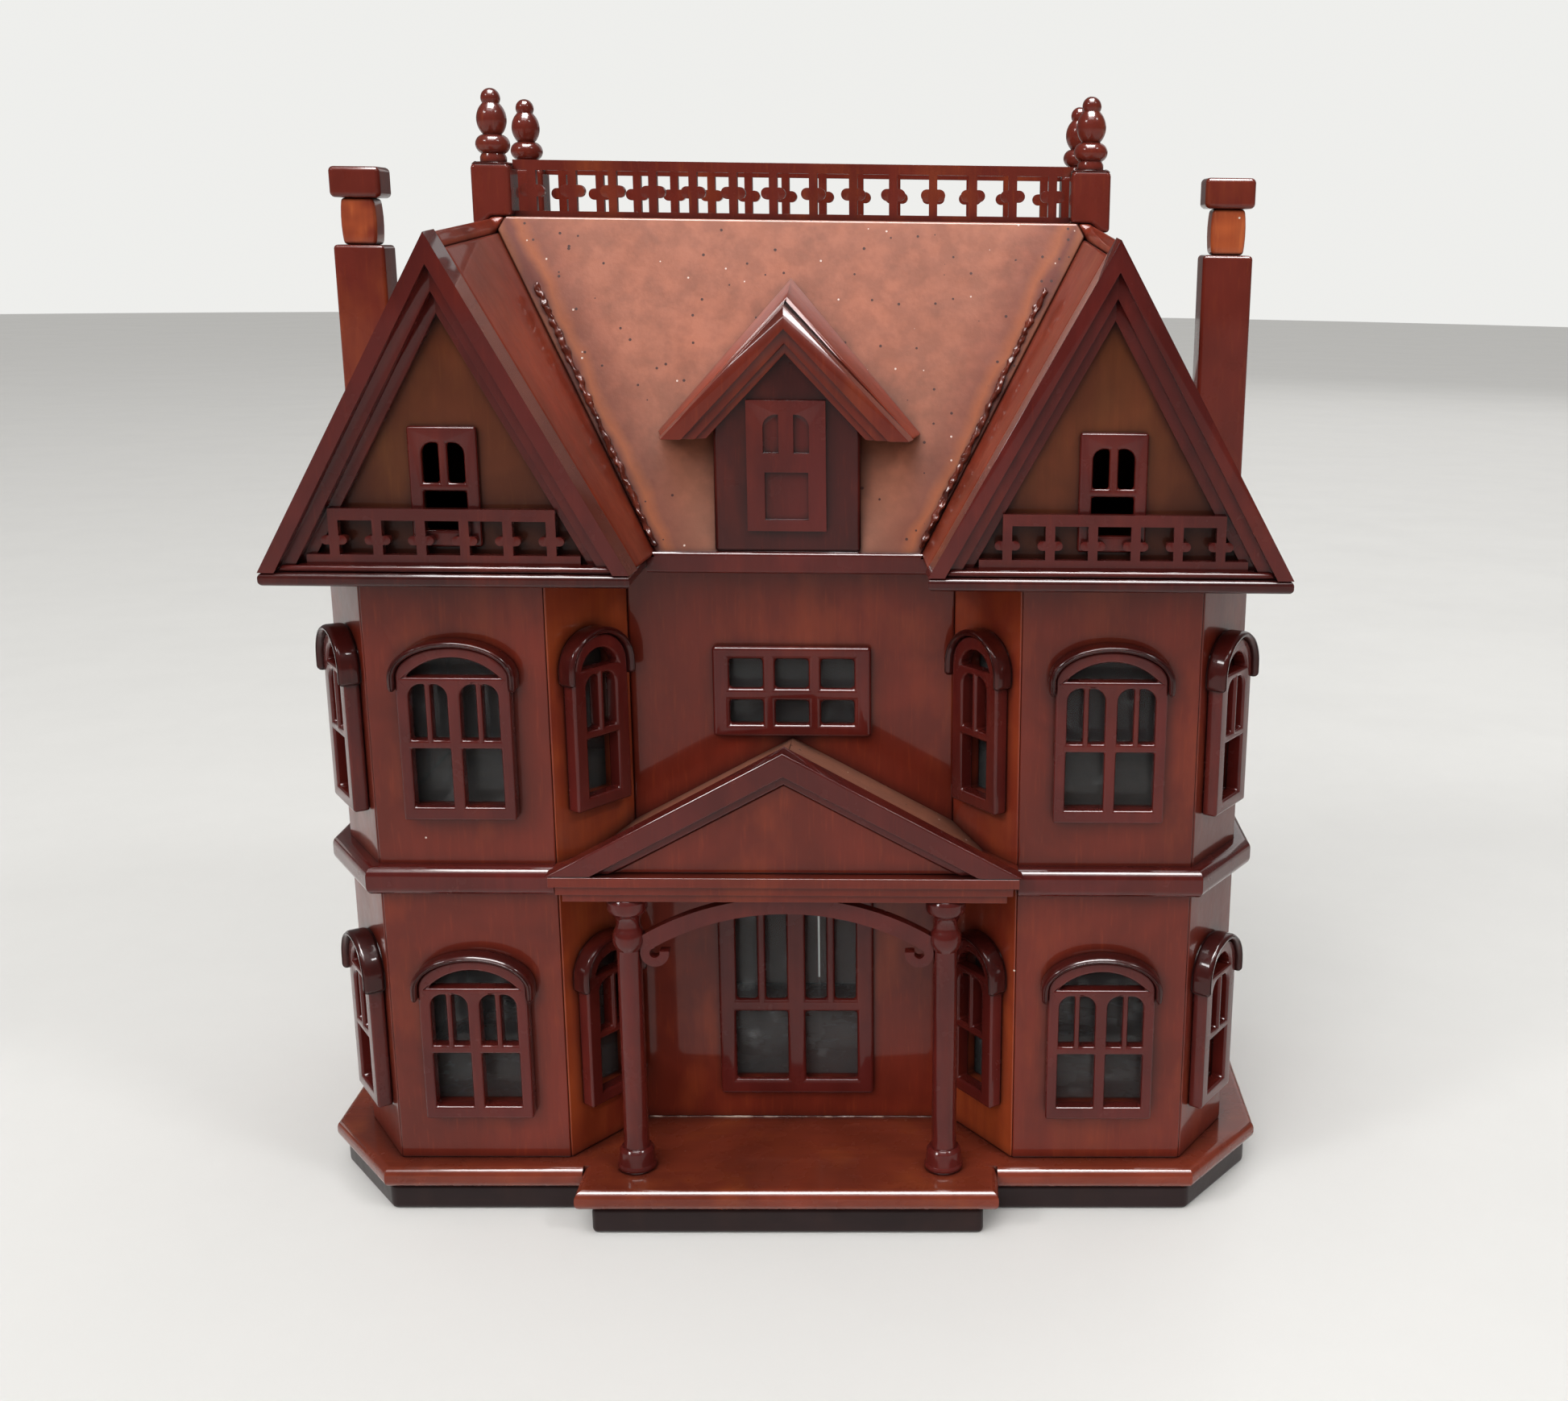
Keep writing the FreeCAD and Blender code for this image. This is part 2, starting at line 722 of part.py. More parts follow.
def dormer_volume(y0, y1, inset, z0):
    block = box(-FAR / 4, FAR / 4, y0, y1, z0, deck_z)
    for slope in dormer_slopes(inset):
        block = block.common(slope)
    return block


def roof():
    main = main_volume()
    gable = gable_volume(-gable_wall_front)
    whole = union([main, gable, mirrored(gable)])
    side = whole.cut(side_slope(panel)).common(box(0, FAR, -FAR, FAR, 0, FAR))
    gable_panel = gable.cut(side).cut(gable_slope(panel)).cut(front_slope(panel))
    gables = [gable, mirrored(gable)]
    sides = [side, mirrored(side)]
    front = less(main.cut(front_slope(panel)), sides + gables)
    rear = less(main.cut(rear_slope(panel)), sides)
    top = main.common(box(-FAR, FAR, -FAR, FAR, deck_z - panel, FAR))
    top = less(top, sides + gables + [front, rear])
    save_sides("side_roof", side)
    save_sides("gable_roof", gable_panel)
    save("main_roof_front", front)
    save("main_roof_rear", rear)
    save("roof_deck", top)
    gable_walls(gable, side, gable_panel)
    return whole


def gable_walls(gable, side, gable_panel):
    y0, y1 = -gable_wall_front, -gable_wall_front + gable_wall
    board = gable.common(box(0, FAR, y0, y1, 0, FAR))
    board = less(board, [side, gable_panel, attic_window()["opening"]])
    save("gable_walls", pair(board))


def attic_lights(z):
    lights = [pane(0, attic_pane, attic_bottom, attic_pane_height)]
    level = attic_bottom + attic_pane_height + attic_rail
    for side in (-1, 1):
        lights.append(lancet(side * attic_lancet_place, attic_lancet, level,
                             attic_lancet_height, attic_lancet_round, side))
    for light in lights:
        light.translate(Vec(attic_window_x, -gable_wall_front, z))
    return lights


def attic_window():
    z = attic_z + attic_frame_sill
    x0, x1 = attic_window_x - attic_frame_half, attic_window_x + attic_frame_half
    back = -gable_wall_front
    frame = box(x0, x1, back - attic_frame_proud, back, z, z + attic_frame_height)
    frame = less(frame, attic_lights(z))
    half = attic_pane / 2 + stile_gap
    height = attic_pane_height + attic_rail + attic_lancet_height
    opening = box(attic_window_x - half, attic_window_x + half, -gable_front, gable_wall,
                  z + attic_bottom - stile_gap, z + attic_bottom + height + stile_gap)
    return {"frame": frame, "opening": opening}


def gable_fronts():
    """Stepped rakes, the ledge between them and the board that carries the gable."""
    rakes = gable_volume(-gable_front).common(box(0, FAR, -FAR, -gable_wall_front, 0, FAR))
    backs = rake_setbacks[1:] + (gable_front - gable_wall_front,)
    for start, inset in zip(backs, rake_steps[1:]):
        deep = box(0, FAR, -FAR, -gable_front + start, 0, FAR)
        rakes = rakes.cut(gable_volume(-gable_front, inset).common(deep))
    ledge = box(gable_inner, gable_outer, -gable_front + sill_setback, -gable_wall_front,
                attic_z, attic_z + sill_height)
    ledge = ledge.common(gable_volume(-gable_front, rake_steps[1])).cut(rakes)
    carrier = box(gable_inner, gable_outer, -gable_front, roof_foot, wall_top, attic_z)
    front_edges = rounded(carrier, eave_round, lambda e: is_level(e) and not at_back(e))
    save("gable_bases", pair(front_edges))
    save("balcony_ledges", pair(ledge))
    halves = [box(gable_apex, FAR, -FAR, FAR, 0, FAR), box(0, gable_apex, -FAR, FAR, 0, FAR)]
    save("gable_rakes", pair(group(rakes.common(half) for half in halves)))
    save("attic_window_frames", pair(attic_window()["frame"]))
    balcony(rakes)


def at_back(edge):
    return edge_middle(edge).y > roof_foot - NEAR


def eaves():
    board = box(-gable_outer, gable_outer, roof_foot, roof_back, wall_top, attic_z)
    save("attic_floor", less(board, pin_holes()))
    top = attic_z + fascia_lift
    front_y, rear_y = roof_foot - fascia, roof_back + fascia
    front = box(-gable_inner, gable_inner, front_y, roof_foot, wall_top - fascia_drop, top)
    rear = box(-gable_outer, gable_outer, roof_back, rear_y, wall_top, top)
    front = rounded(front, fascia_round, lambda e: is_level(e) and edge_middle(e).y < front_y + NEAR)
    rear = rounded(rear, fascia_round, lambda e: is_level(e) and edge_middle(e).y > rear_y - NEAR)
    gable = gable_volume(-gable_front)
    front = less(front, [gable, mirrored(gable)])
    save("eave_fascias", group([front, rear]))


# ---- railings ----
def railing(count, spacing, height, rails, stem, arm, arm_height, arm_level, extra):
    """A fret-cut railing with its middle at x = 0, its foot at z = 0 and its face at y = 0."""
    top, bottom = rails
    half = (count - 1) * spacing / 2 + stem / 2
    pieces = [
        box(-half, half, 0, rail_thick, height - top, height),
        box(-half - extra, half + extra, 0, rail_thick, 0, bottom),
    ]
    middle = bottom + arm_level * (height - top - bottom)
    radius = arm_height / 2
    for index in range(count):
        x = (index - (count - 1) / 2) * spacing
        pieces.append(box(x - stem / 2, x + stem / 2, 0, rail_thick, 0, height))
        reach = arm / 2 - radius
        pieces.append(box(x - reach, x + reach, 0, rail_thick, middle - radius, middle + radius))
        for side in (-1, 1):
            end = Part.makeCylinder(radius, rail_thick, Vec(x + side * reach, 0, middle),
                                    Vec(0, 1, 0))
            pieces.append(end)
    return union(pieces)


def balcony(rakes):
    rail = railing(balcony_balusters, balcony_spacing, balcony_height,
                   (balcony_top, balcony_bottom), balcony_stem, balcony_arm,
                   balcony_arm_height, balcony_arm_level, balcony_foot_extra)
    rail.translate(Vec(balcony_x, -gable_front + balcony_setback, attic_z + sill_height))
    save("balcony_railings", pair(rail.cut(rakes)))


def deck_fittings(whole):
    front_y = roof_top + post_back
    rear_y = rear_top - post_back
    top_z = deck_z + post_height
    posts = []
    finials = []
    for x in (-post_x, post_x):
        for y in (front_y, rear_y):
            block = box(x - post / 2, x + post / 2, y - post / 2, y + post / 2,
                        deck_z - post_toe, top_z)
            block = block.makeChamfer(post_bevel, [e for e in block.Edges
                                                   if edge_middle(e).z > top_z - NEAR])
            posts.append(block.cut(whole))
            finial = turned(finial_profile())
            finial.translate(Vec(x, y, top_z))
            finials.append(finial)
    save("roof_posts", group(posts))
    save("post_finials", group(finials))
    rail = railing(deck_balusters, deck_spacing, deck_rail_height,
                   (deck_rail_top, deck_rail_bottom), deck_stem, deck_arm,
                   deck_arm_height, deck_arm_level, 0)
    reach = post_x - post / 2
    ends = (deck_balusters - 1) * deck_spacing / 2
    for level, height in ((0, deck_rail_bottom), (deck_rail_height - deck_rail_top, deck_rail_top)):
        for side in (-1, 1):
            x0, x1 = sorted((side * ends, side * reach))
            rail = rail.fuse(box(x0, x1, 0, rail_thick, level, level + height))
    rail = rail.removeSplitter()
    for name, y in (("front_deck_railing", front_y), ("rear_deck_railing", rear_y)):
        placed = rail.copy()
        placed.translate(Vec(0, y - rail_thick / 2, deck_z))
        save(name, placed)


# ---- turned pieces ----
def turned(steps):
    """A turned piece on the Z axis.  A step is (radius, z), or (radius, z, middle radius,
    middle z) where the outline swells or hollows on its way there."""
    edges = []
    last = Vec(steps[0][0], 0, steps[0][1])
    for step in steps[1:]:
        here = Vec(step[0], 0, step[1])
        if len(step) == 2:
            edges.append(Part.makeLine(last, here))
        else:
            edges.append(Part.Arc(last, Vec(step[2], 0, step[3]), here).toShape())
        last = here
    edges.append(Part.makeLine(last, Vec(steps[0][0], 0, steps[0][1])))
    return Part.Face(Part.Wire(edges)).revolve(Vec(0, 0, 0), Vec(0, 0, 1), 360)


def finial_profile():
    """Collar, wide ring, ball and top ball.  The top ball is round about the turning axis."""
    slope = math.sqrt(0.5) * finial_ball
    eye = finial_height - finial_ball
    pinch = finial_ball * math.cos(finial_pinch)
    ball = [
        (pinch, eye - finial_ball * math.sin(finial_pinch)) + finial_belly,
        (slope, eye + slope, finial_ball, eye),
        (0, finial_height, finial_ball * math.sin(0.4), eye + finial_ball * math.cos(0.4)),
    ]
    return [(0, 0)] + list(finial_steps) + ball


def column_profile():
    """Foot, tapered shaft, ring and flared cap, from the porch floor to the entablature."""
    height = entablature_z - base_top
    foot, rim, ring, cap = column_foot_radius, column_rim_radius, column_ring_radius, column_cap_radius
    ring_z = height - column_head
    flare_z = ring_z + column_ring
    return [
        (0, 0), (foot - 0.2, 0), (foot - 0.15, 0.85, foot, 0.45),
        (rim, column_foot - 0.4), (rim - 0.3, column_foot), (shaft_foot_radius, column_foot),
        (shaft_head_radius, ring_z),
        (shaft_head_radius, flare_z, ring, ring_z + column_ring / 2),
        (cap - 0.15, flare_z + 2.1, shaft_head_radius + 0.05, flare_z + 1.1),
        (cap, flare_z + 2.5), (cap, height - 0.5), (cap - 0.3, height), (0, height),
    ]


# ---- chimneys ----
def chimneys(whole):
    x0, x1 = chimney_x - chimney_width / 2, chimney_x + chimney_width / 2
    y0, y1 = chimney_y, chimney_y + chimney_depth
    top = attic_z + chimney_top
    shaft = box(x0, x1, y0, y1, attic_z, top)
    shaft = shaft.cut(side_slope(0))
    middle_y = (y0 + y1) / 2
    half = neck_width / 2
    left = Part.Arc(Vec(-half, 0, 0), Vec(-half - neck_swell, 0, neck_height / 2),
                    Vec(-half, 0, neck_height))
    right = Part.Arc(Vec(half, 0, neck_height), Vec(half + neck_swell, 0, neck_height / 2),
                     Vec(half, 0, 0))
    cap_line = Part.makeLine(Vec(-half, 0, neck_height), Vec(half, 0, neck_height))
    foot_line = Part.makeLine(Vec(half, 0, 0), Vec(-half, 0, 0))
    wire = Part.Wire([left.toShape(), cap_line, right.toShape(), foot_line])
    neck = Part.Face(wire).extrude(Vec(0, neck_depth, 0))
    neck.translate(Vec(chimney_x, middle_y - neck_depth / 2, top))
    cap_z = top + neck_height
    cap = box(x0, x1, y0, y1, cap_z, cap_z + cap_height)
    cap = cap.makeFillet(cap_round, cap.Edges)
    save("chimney_shafts", pair(shaft))
    save("chimney_necks", pair(neck))
    save("chimney_caps", pair(cap))


# ---- dormer ----
def dormer(main):
    behind_slope = roof_top
    foot_z = attic_z + fascia_lift
    block = dormer_volume(dormer_front, behind_slope, panel, foot_z)
    block = block.common(box(-dormer_half, dormer_half, 0, behind_slope, 0, FAR)).cut(main)
    save("dormer_block", block)
    end_z = attic_z + dormer_end
    roof_piece = dormer_volume(dormer_front, behind_slope, 0, end_z)
    roof_piece = roof_piece.cut(dormer_volume(dormer_front, behind_slope, panel, 0)).cut(main)
    roof_piece = roof_piece.cut(block)
    save_halves("dormer_roof", roof_piece)
    rakes = dormer_volume(dormer_rake_front, dormer_front, 0, end_z)
    backs = dormer_setbacks[1:] + (dormer_front - dormer_rake_front,)
    for start, inset in zip(backs, dormer_rakes[1:]):
        rakes = rakes.cut(dormer_volume(dormer_rake_front, dormer_rake_front + start, inset, 0))
    save_halves("dormer_rakes", rakes)
    z = foot_z + dormer_frame_sill - fascia_lift
    frame = box(-dormer_frame_half, dormer_frame_half, dormer_front - dormer_frame_proud,
                dormer_front, z, z + dormer_frame_height)
    lights = [pane(0, dormer_pane, dormer_bottom, dormer_pane_height)]
    level = dormer_bottom + dormer_pane_height + dormer_rail
    for side in (-1, 1):
        lights.append(lancet(side * dormer_lancet_place, dormer_lancet, level,
                             dormer_lancet_height, light_round, side))
    sunk = box(-dormer_half, dormer_half, -FAR, dormer_front - dormer_frame_proud + dormer_sunk,
               0, FAR)
    for light in lights:
        light.translate(Vec(0, 0, z))
        frame = frame.cut(light.common(sunk))
    save("dormer_window_frame", frame)


def save_halves(node, shape):
    """Two boards that meet at the middle."""
    right = box(0, FAR, -FAR, FAR, 0, FAR)
    save(node, group([shape.common(mirrored(right)), shape.common(right)]))


# ---- porch ----
def bay_space():
    """The space of the right bay and the house behind it."""
    return plan(wall_path[1:] + [(hall_half, house_depth)], base_top, wall_top)


def pediment_volume(y0, y1, inset, z1, drop=0.0):
    fall = pediment_rise / pediment_half
    lower = inset * math.sqrt(1 + fall * fall) + drop
    tip = entablature_top + pediment_rise - lower
    half = (tip - entablature_top) / fall
    points = [(-half, entablature_top), (half, entablature_top), (0, tip)]
    return elevation(points, y0, y1).common(box(-FAR, FAR, -FAR, FAR, 0, z1))


def porch():
    bays = [bay_space(), mirrored(bay_space())]
    column = turned(column_profile())
    column.translate(Vec(column_x, -column_front, base_top))
    columns = pair(column)
    save("porch_columns", columns)
    z = entablature_z
    slabs = []
    for height, lap, front in entablature_steps:
        half = bay_inner + lap
        slabs.append(box(-half, half, -front, bay_depth, z, z + height))
        z += height
    save("entablature", less(union(slabs), bays))
    save("porch_arch", less(arch(), columns.Solids))
    front = -entablature_front
    rakes = pediment_volume(front, -pediment_back, 0, FAR)
    backs = pediment_setbacks[1:] + (entablature_front - pediment_back,)
    for start, inset in zip(backs, pediment_steps[1:]):
        rakes = rakes.cut(pediment_volume(front, front + start, inset, FAR))
    save_halves("pediment_rakes", rakes)
    panel_board = pediment_volume(-pediment_back - pediment_panel, -pediment_back,
                                  pediment_steps[-1], FAR)
    save("pediment_panel", panel_board)
    outer = pediment_volume(-pediment_back, bay_depth, 0, FAR, porch_roof_drop)
    inner = pediment_volume(-pediment_back, bay_depth, porch_panel, FAR, porch_roof_drop)
    save_halves("porch_roof", less(outer.cut(inner), bays))


def arch():
    """The arched bracket between the columns, with a scroll at each end."""
    crown = entablature_z
    half = column_x - shaft_head_radius
    radius = (half * half + arch_spring * arch_spring) / (2 * arch_spring)
    y0 = -column_front - arch_deep / 2
    centre = Vec(0, y0, crown - radius)
    along = Vec(0, 1, 0)
    band = Part.makeCylinder(radius, arch_deep, centre, along)
    band = band.cut(Part.makeCylinder(radius - arch_band, arch_deep, centre, along))
    band = band.common(box(-half, half, y0, y0 + arch_deep, crown - 2 * arch_spring, crown))
    pieces = [band]
    for side in (-1, 1):
        x = side * (column_x - scroll_in)
        eye = Vec(x, y0, crown - scroll_drop)
        ring = Part.makeCylinder(scroll_radius, arch_deep, eye, along)
        ring = ring.cut(Part.makeCylinder(scroll_eye, arch_deep, eye, along))
        x0, x1 = sorted((x - side * scroll_radius, x))
        mouth = box(x0, x1, y0, y0 + arch_deep, eye.z + scroll_lip, eye.z + scroll_radius)
        pieces.append(ring.cut(mouth))
    return union(pieces)


# ---- back doors ----
def hinge_line():
    """Place of a door's hinge pin, seen from above: the middle of the leaf's rounded edge."""
    return half_width - door / 2, house_depth + door_gap + door / 2


def pin_holes():
    """Holes for the hinge pins in the base board and the attic board, both sides."""
    x, y = hinge_line()
    holes = []
    for z in (base_top - pin_bite, wall_top):
        hole = Part.makeCylinder(pin_radius, pin_bite, Vec(x, y, z))
        holes += [hole, mirrored(hole)]
    return holes


def back_doors():
    x, y = hinge_line()
    z0, z1 = base_top + door_gap, wall_top - door_gap
    leaf = box(door_gap / 2, x, y - door / 2, y + door / 2, z0, z1)
    leaf = leaf.fuse(Part.makeCylinder(door / 2, z1 - z0, Vec(x, y, z0))).removeSplitter()
    for z in (z0, z1 - pin_in_leaf - door_gap):
        leaf = leaf.cut(Part.makeCylinder(pin_radius + pin_clearance, pin_in_leaf + door_gap,
                                          Vec(x, y, z)))
    save_sides("back_door", leaf)
    knob = turned([
        (0, 0), (knob_neck, 0), (knob_neck, knob_neck),
        (knob_neck, knob_proud - knob_dome, knob_radius * 1.15, (knob_neck + knob_proud) / 2),
        (0, knob_proud),
    ])
    knob.rotate(Vec(0, 0, 0), Vec(1, 0, 0), -90)
    knob.translate(Vec(knob_x, y + door / 2, (z0 + z1) / 2))
    save_sides("door_knob", knob)
    length = pin_bite + door_gap + pin_in_leaf
    low = Part.makeCylinder(pin_radius, length, Vec(x, y, base_top - pin_bite))
    high = Part.makeCylinder(pin_radius, length, Vec(x, y, wall_top - door_gap - pin_in_leaf))
    save("hinge_pins", group([low, mirrored(low), high, mirrored(high)]))


def main():
    os.makedirs("parts", exist_ok=True)
    front, side = front_bay_window(), side_bay_window()
    base()
    walls((front, side))
    floors()
    belt()
    windows(front, side)
    whole = roof()
    gable_fronts()
    eaves()
    deck_fittings(whole)
    chimneys(whole)
    dormer(main_volume())
    porch()
    back_doors()


main()
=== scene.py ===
import json
import math

import bpy
from mathutils import Matrix, Vector


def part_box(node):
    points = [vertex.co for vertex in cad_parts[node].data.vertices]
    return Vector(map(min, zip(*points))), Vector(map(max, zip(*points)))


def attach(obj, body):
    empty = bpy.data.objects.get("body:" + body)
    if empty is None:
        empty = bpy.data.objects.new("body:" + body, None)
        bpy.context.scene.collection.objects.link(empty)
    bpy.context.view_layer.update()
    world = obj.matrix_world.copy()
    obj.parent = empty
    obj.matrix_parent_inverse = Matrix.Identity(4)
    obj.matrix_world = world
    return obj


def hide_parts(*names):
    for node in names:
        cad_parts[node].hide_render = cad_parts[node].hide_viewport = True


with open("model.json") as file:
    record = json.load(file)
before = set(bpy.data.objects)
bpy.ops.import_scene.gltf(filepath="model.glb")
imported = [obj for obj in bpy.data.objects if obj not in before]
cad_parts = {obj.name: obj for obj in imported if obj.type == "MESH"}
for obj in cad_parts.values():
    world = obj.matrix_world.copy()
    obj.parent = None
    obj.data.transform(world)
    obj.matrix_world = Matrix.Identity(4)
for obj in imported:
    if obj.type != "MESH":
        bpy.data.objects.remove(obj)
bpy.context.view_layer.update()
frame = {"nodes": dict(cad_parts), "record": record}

bl_info = {
    "name": "Varnished Dollhouse",
    "version": (1, 0, 0),
    "blender": (4, 5, 0),
    "location": "View3D > Sidebar > Dollhouse",
    "description": "Varnish, soft edges, glue beads and window film of a small wooden dollhouse",
    "category": "Object",
}

NODES = frame["nodes"]
MM = 0.001


# ---- places read from the frame ----
def lowest_outer_corner(node):
    """The corner of a board at its lowest level that is furthest to the right."""
    points = [v.co for v in NODES[node].data.vertices]
    floor = min(p.z for p in points)
    return max((p for p in points if p.z < floor + 0.1 * MM), key=lambda p: p.x)


def highest_outer_corner(node):
    """The corner of a board at its highest level that is furthest to the right."""
    points = [v.co for v in NODES[node].data.vertices]
    top = max(p.z for p in points)
    return max((p for p in points if p.z > top - 0.1 * MM), key=lambda p: (round(p.x, 4), -p.y))


# ---- sizes that are not worth a slider ----
SKIN = 0.002 * MM            # corners nearer than this are one corner
WHOLE_FACE = 0.3             # degrees within which two triangles are one face
EAVES_SHADE = 24 * MM        # height over which the roof darkens towards the eaves
VALLEY_BAND = 9 * MM         # width of the painted red shade beside each valley
VALLEY_WOBBLE = 3.2 * MM     # how far its edge wanders
FILLER_LENGTH = 0.80         # share of the valley that has filler, from its foot
FILLER_RISE = 1.0 * MM       # filler's foot above the front slope's lower edge
FILLER_CUTS = 120
FILLER_LUMP = 0.40 * MM
GLUE_RADIUS = 0.11 * MM
GLUE_CUTS = 80
GLUE_LUMP = 0.09 * MM
GLUE_END = 1.0 * MM          # glue stops this far inside the wall's ends
FILM_CUTS = 9
FILM_CRINKLE = 0.10 * MM
FLOOR_RADIUS = 2.5

VALLEY_FOOT = lowest_outer_corner("main_roof_front").copy()
VALLEY_TOP = highest_outer_corner("main_roof_front").copy()
BODY = "house"


# ---- what a user would change ----
def colour(name, text, default):
    return bpy.props.FloatVectorProperty(
        name=name, description=text, subtype="COLOR", size=3, min=0.0, max=1.0, default=default)


def power(name, text, default):
    return bpy.props.FloatProperty(name=name, description=text, default=default, unit="POWER")


def length(name, text, default):
    return bpy.props.FloatProperty(
        name=name, description=text, default=default, min=0.0, unit="LENGTH", precision=5)


class DollhouseFinish(bpy.types.PropertyGroup):
    wall: colour("Walls", "Varnish on the wall boards", (0.128, 0.015, 0.007))
    wall_warm: colour("Worn walls", "Where the wall varnish is thin", (0.230, 0.040, 0.011))
    trim: colour("Trim", "Varnish on frames, hoods and rakes", (0.084, 0.010, 0.008))
    turned: colour("Turned wood", "Varnish on posts, columns and chimneys", (0.130, 0.017, 0.010))
    roof: colour("Roof", "Satin varnish on the roof boards", (0.370, 0.122, 0.068))
    slope: colour("Gable roofs", "Varnish on the gable, side and dormer roofs", (0.240, 0.030, 0.011))
    base: colour("Base", "Varnish on the base board and porch floor", (0.170, 0.028, 0.013))
    plinth: colour("Plinth", "Dark stain on the plinth", (0.018, 0.008, 0.008))
    gable: colour("Gables", "Olive varnish on the gable walls", (0.110, 0.026, 0.009))
    plain: colour("Inside", "Thin stain on the floors inside", (0.160, 0.075, 0.035))
    # painted shade: the dark colour mixed into corners and recesses
    corner_shade: colour("Pooled varnish", "Varnish that gathered in the corners", (0.014, 0.004, 0.004))
    gloss: bpy.props.FloatProperty(
        name="Gloss", description="Strength of the clear coat", default=0.80, min=0.0, max=1.0)


class DollhouseEdges(bpy.types.PropertyGroup):
    board: length("Boards", "Softness of the wall boards' edges", 0.28 * MM)
    trim: length("Trim", "Softness of the trim's edges", 0.46 * MM)
    rounded: length("Rounded boards", "Softness of the base, hoods and gable roofs", 0.65 * MM)
    fret: length("Railings", "Softness of the fret-cut railings' edges", 0.24 * MM)
    bead: length("Filler", "Radius of the filler along the valleys", 0.36 * MM)


class DollhouseStage(bpy.types.PropertyGroup):
    floor: colour("Floor", "Plain pale floor", (0.72, 0.71, 0.69))
    sky: colour("Surroundings", "Plain pale surroundings", (0.86, 0.86, 0.84))
    daylight: bpy.props.FloatProperty(
        name="Daylight", description="Very soft light from the front, as from a wide window",
        default=1.75)
    top_light: power("Top light", "Soft light overhead", 1.3)
    window_light: power("Window lights", "Two bright panes that glint in the varnish", 2.4)
    shine: power("Shine", "Wide soft light that only shines in the varnish", 4.2)
    glints: power("Glints", "Bright light overhead that only shines along rounded edges", 48.0)
    back_light: power("Back light", "Soft light behind", 1.6)


# ---- materials ----
class Recipe:
    """A small helper that adds shader nodes and joins them."""

    def __init__(self, name):
        self.material = bpy.data.materials.new(name)
        self.material.use_nodes = True
        self.tree = self.material.node_tree
        self.shader = self.tree.nodes["Principled BSDF"]
        self.place = self.add("ShaderNodeTexCoord").outputs["Object"]

    def add(self, kind, **settings):
        node = self.tree.nodes.new(kind)
        for key, value in settings.items():
            setattr(node, key, value)
        return node

    def join(self, source, target):
        self.tree.links.new(source, target)

    def stretched(self, scale, shift=(0, 0, 0)):
        mapping = self.add("ShaderNodeMapping")
        mapping.inputs["Scale"].default_value = scale
        mapping.inputs["Location"].default_value = shift
        self.join(self.place, mapping.inputs["Vector"])
        return mapping.outputs["Vector"]

    def noise(self, vector, scale, detail=3.0, roughness=0.55, distortion=0.0):
        noise = self.add("ShaderNodeTexNoise")
        noise.inputs["Scale"].default_value = scale
        noise.inputs["Detail"].default_value = detail
        noise.inputs["Roughness"].default_value = roughness
        noise.inputs["Distortion"].default_value = distortion
        self.join(vector, noise.inputs["Vector"])
        return noise.outputs["Fac"]

    def ramp(self, value, *stops):
        """Maps a value to grey levels: each stop is (position, level)."""
        ramp = self.add("ShaderNodeValToRGB")
        points = ramp.color_ramp.elements
        while len(points) < len(stops):
            points.new(0.5)
        for point, (position, level) in zip(points, stops):
            point.position = position
            point.color = (level, level, level, 1.0)
        self.join(value, ramp.inputs["Fac"])
        return ramp.outputs["Color"]

    def mix(self, amount, first, second, kind="MIX"):
        """Mixes two colours; each is a colour or an output."""
        mix = self.add("ShaderNodeMix", data_type="RGBA", blend_type=kind)
        for value, socket in ((amount, mix.inputs[0]), (first, mix.inputs[6]), (second, mix.inputs[7])):
            if isinstance(value, bpy.types.NodeSocket):
                self.join(value, socket)
            elif socket.type == "RGBA":
                socket.default_value = (*value, 1.0)
            else:
                socket.default_value = value
        return mix.outputs[2]

    def maths(self, operation, first, second=0.0, clamp=False):
        node = self.add("ShaderNodeMath", operation=operation, use_clamp=clamp)
        for value, socket in zip((first, second), node.inputs):
            if isinstance(value, bpy.types.NodeSocket):
                self.join(value, socket)
            else:
                socket.default_value = value
        return node.outputs[0]

    def sideways(self):
        return self.place_along(0)

    def height(self):
        return self.place_along(2)

    def place_along(self, axis):
        split = self.add("ShaderNodeSeparateXYZ")
        self.join(self.place, split.inputs[0])
        return split.outputs[axis]

    def specks(self, scale, size, share, shift=(0, 0, 0)):
        """White where a small round speck lies; share is how many cells have one."""
        cells = self.add("ShaderNodeTexVoronoi")
        cells.inputs["Scale"].default_value = scale
        self.join(self.stretched((1, 1, 1), shift), cells.inputs["Vector"])
        near = self.maths("LESS_THAN", cells.outputs["Distance"], size)
        split = self.add("ShaderNodeSeparateColor")
        self.join(cells.outputs["Color"], split.inputs[0])
        chosen = self.maths("LESS_THAN", split.outputs[0], share)
        return self.maths("MULTIPLY", near, chosen)

    def corners(self, reach):
        """White in the open, dark in the corners: the mask for painted shade in the corners."""
        hollow = self.add("ShaderNodeAmbientOcclusion", samples=6)
        hollow.inputs["Distance"].default_value = reach
        return hollow.outputs["AO"]

    def bump(self, height, strength, distance, below=None):
        bump = self.add("ShaderNodeBump")
        bump.inputs["Strength"].default_value = strength
        bump.inputs["Distance"].default_value = distance
        self.join(height, bump.inputs["Height"])
        if below is not None:
            self.join(below, bump.inputs["Normal"])
        return bump.outputs["Normal"]

    def finish(self, base, roughness, normal):
        self.join(base, self.shader.inputs["Base Color"])
        self.join(roughness, self.shader.inputs["Roughness"])
        self.join(normal, self.shader.inputs["Normal"])
        return self.material


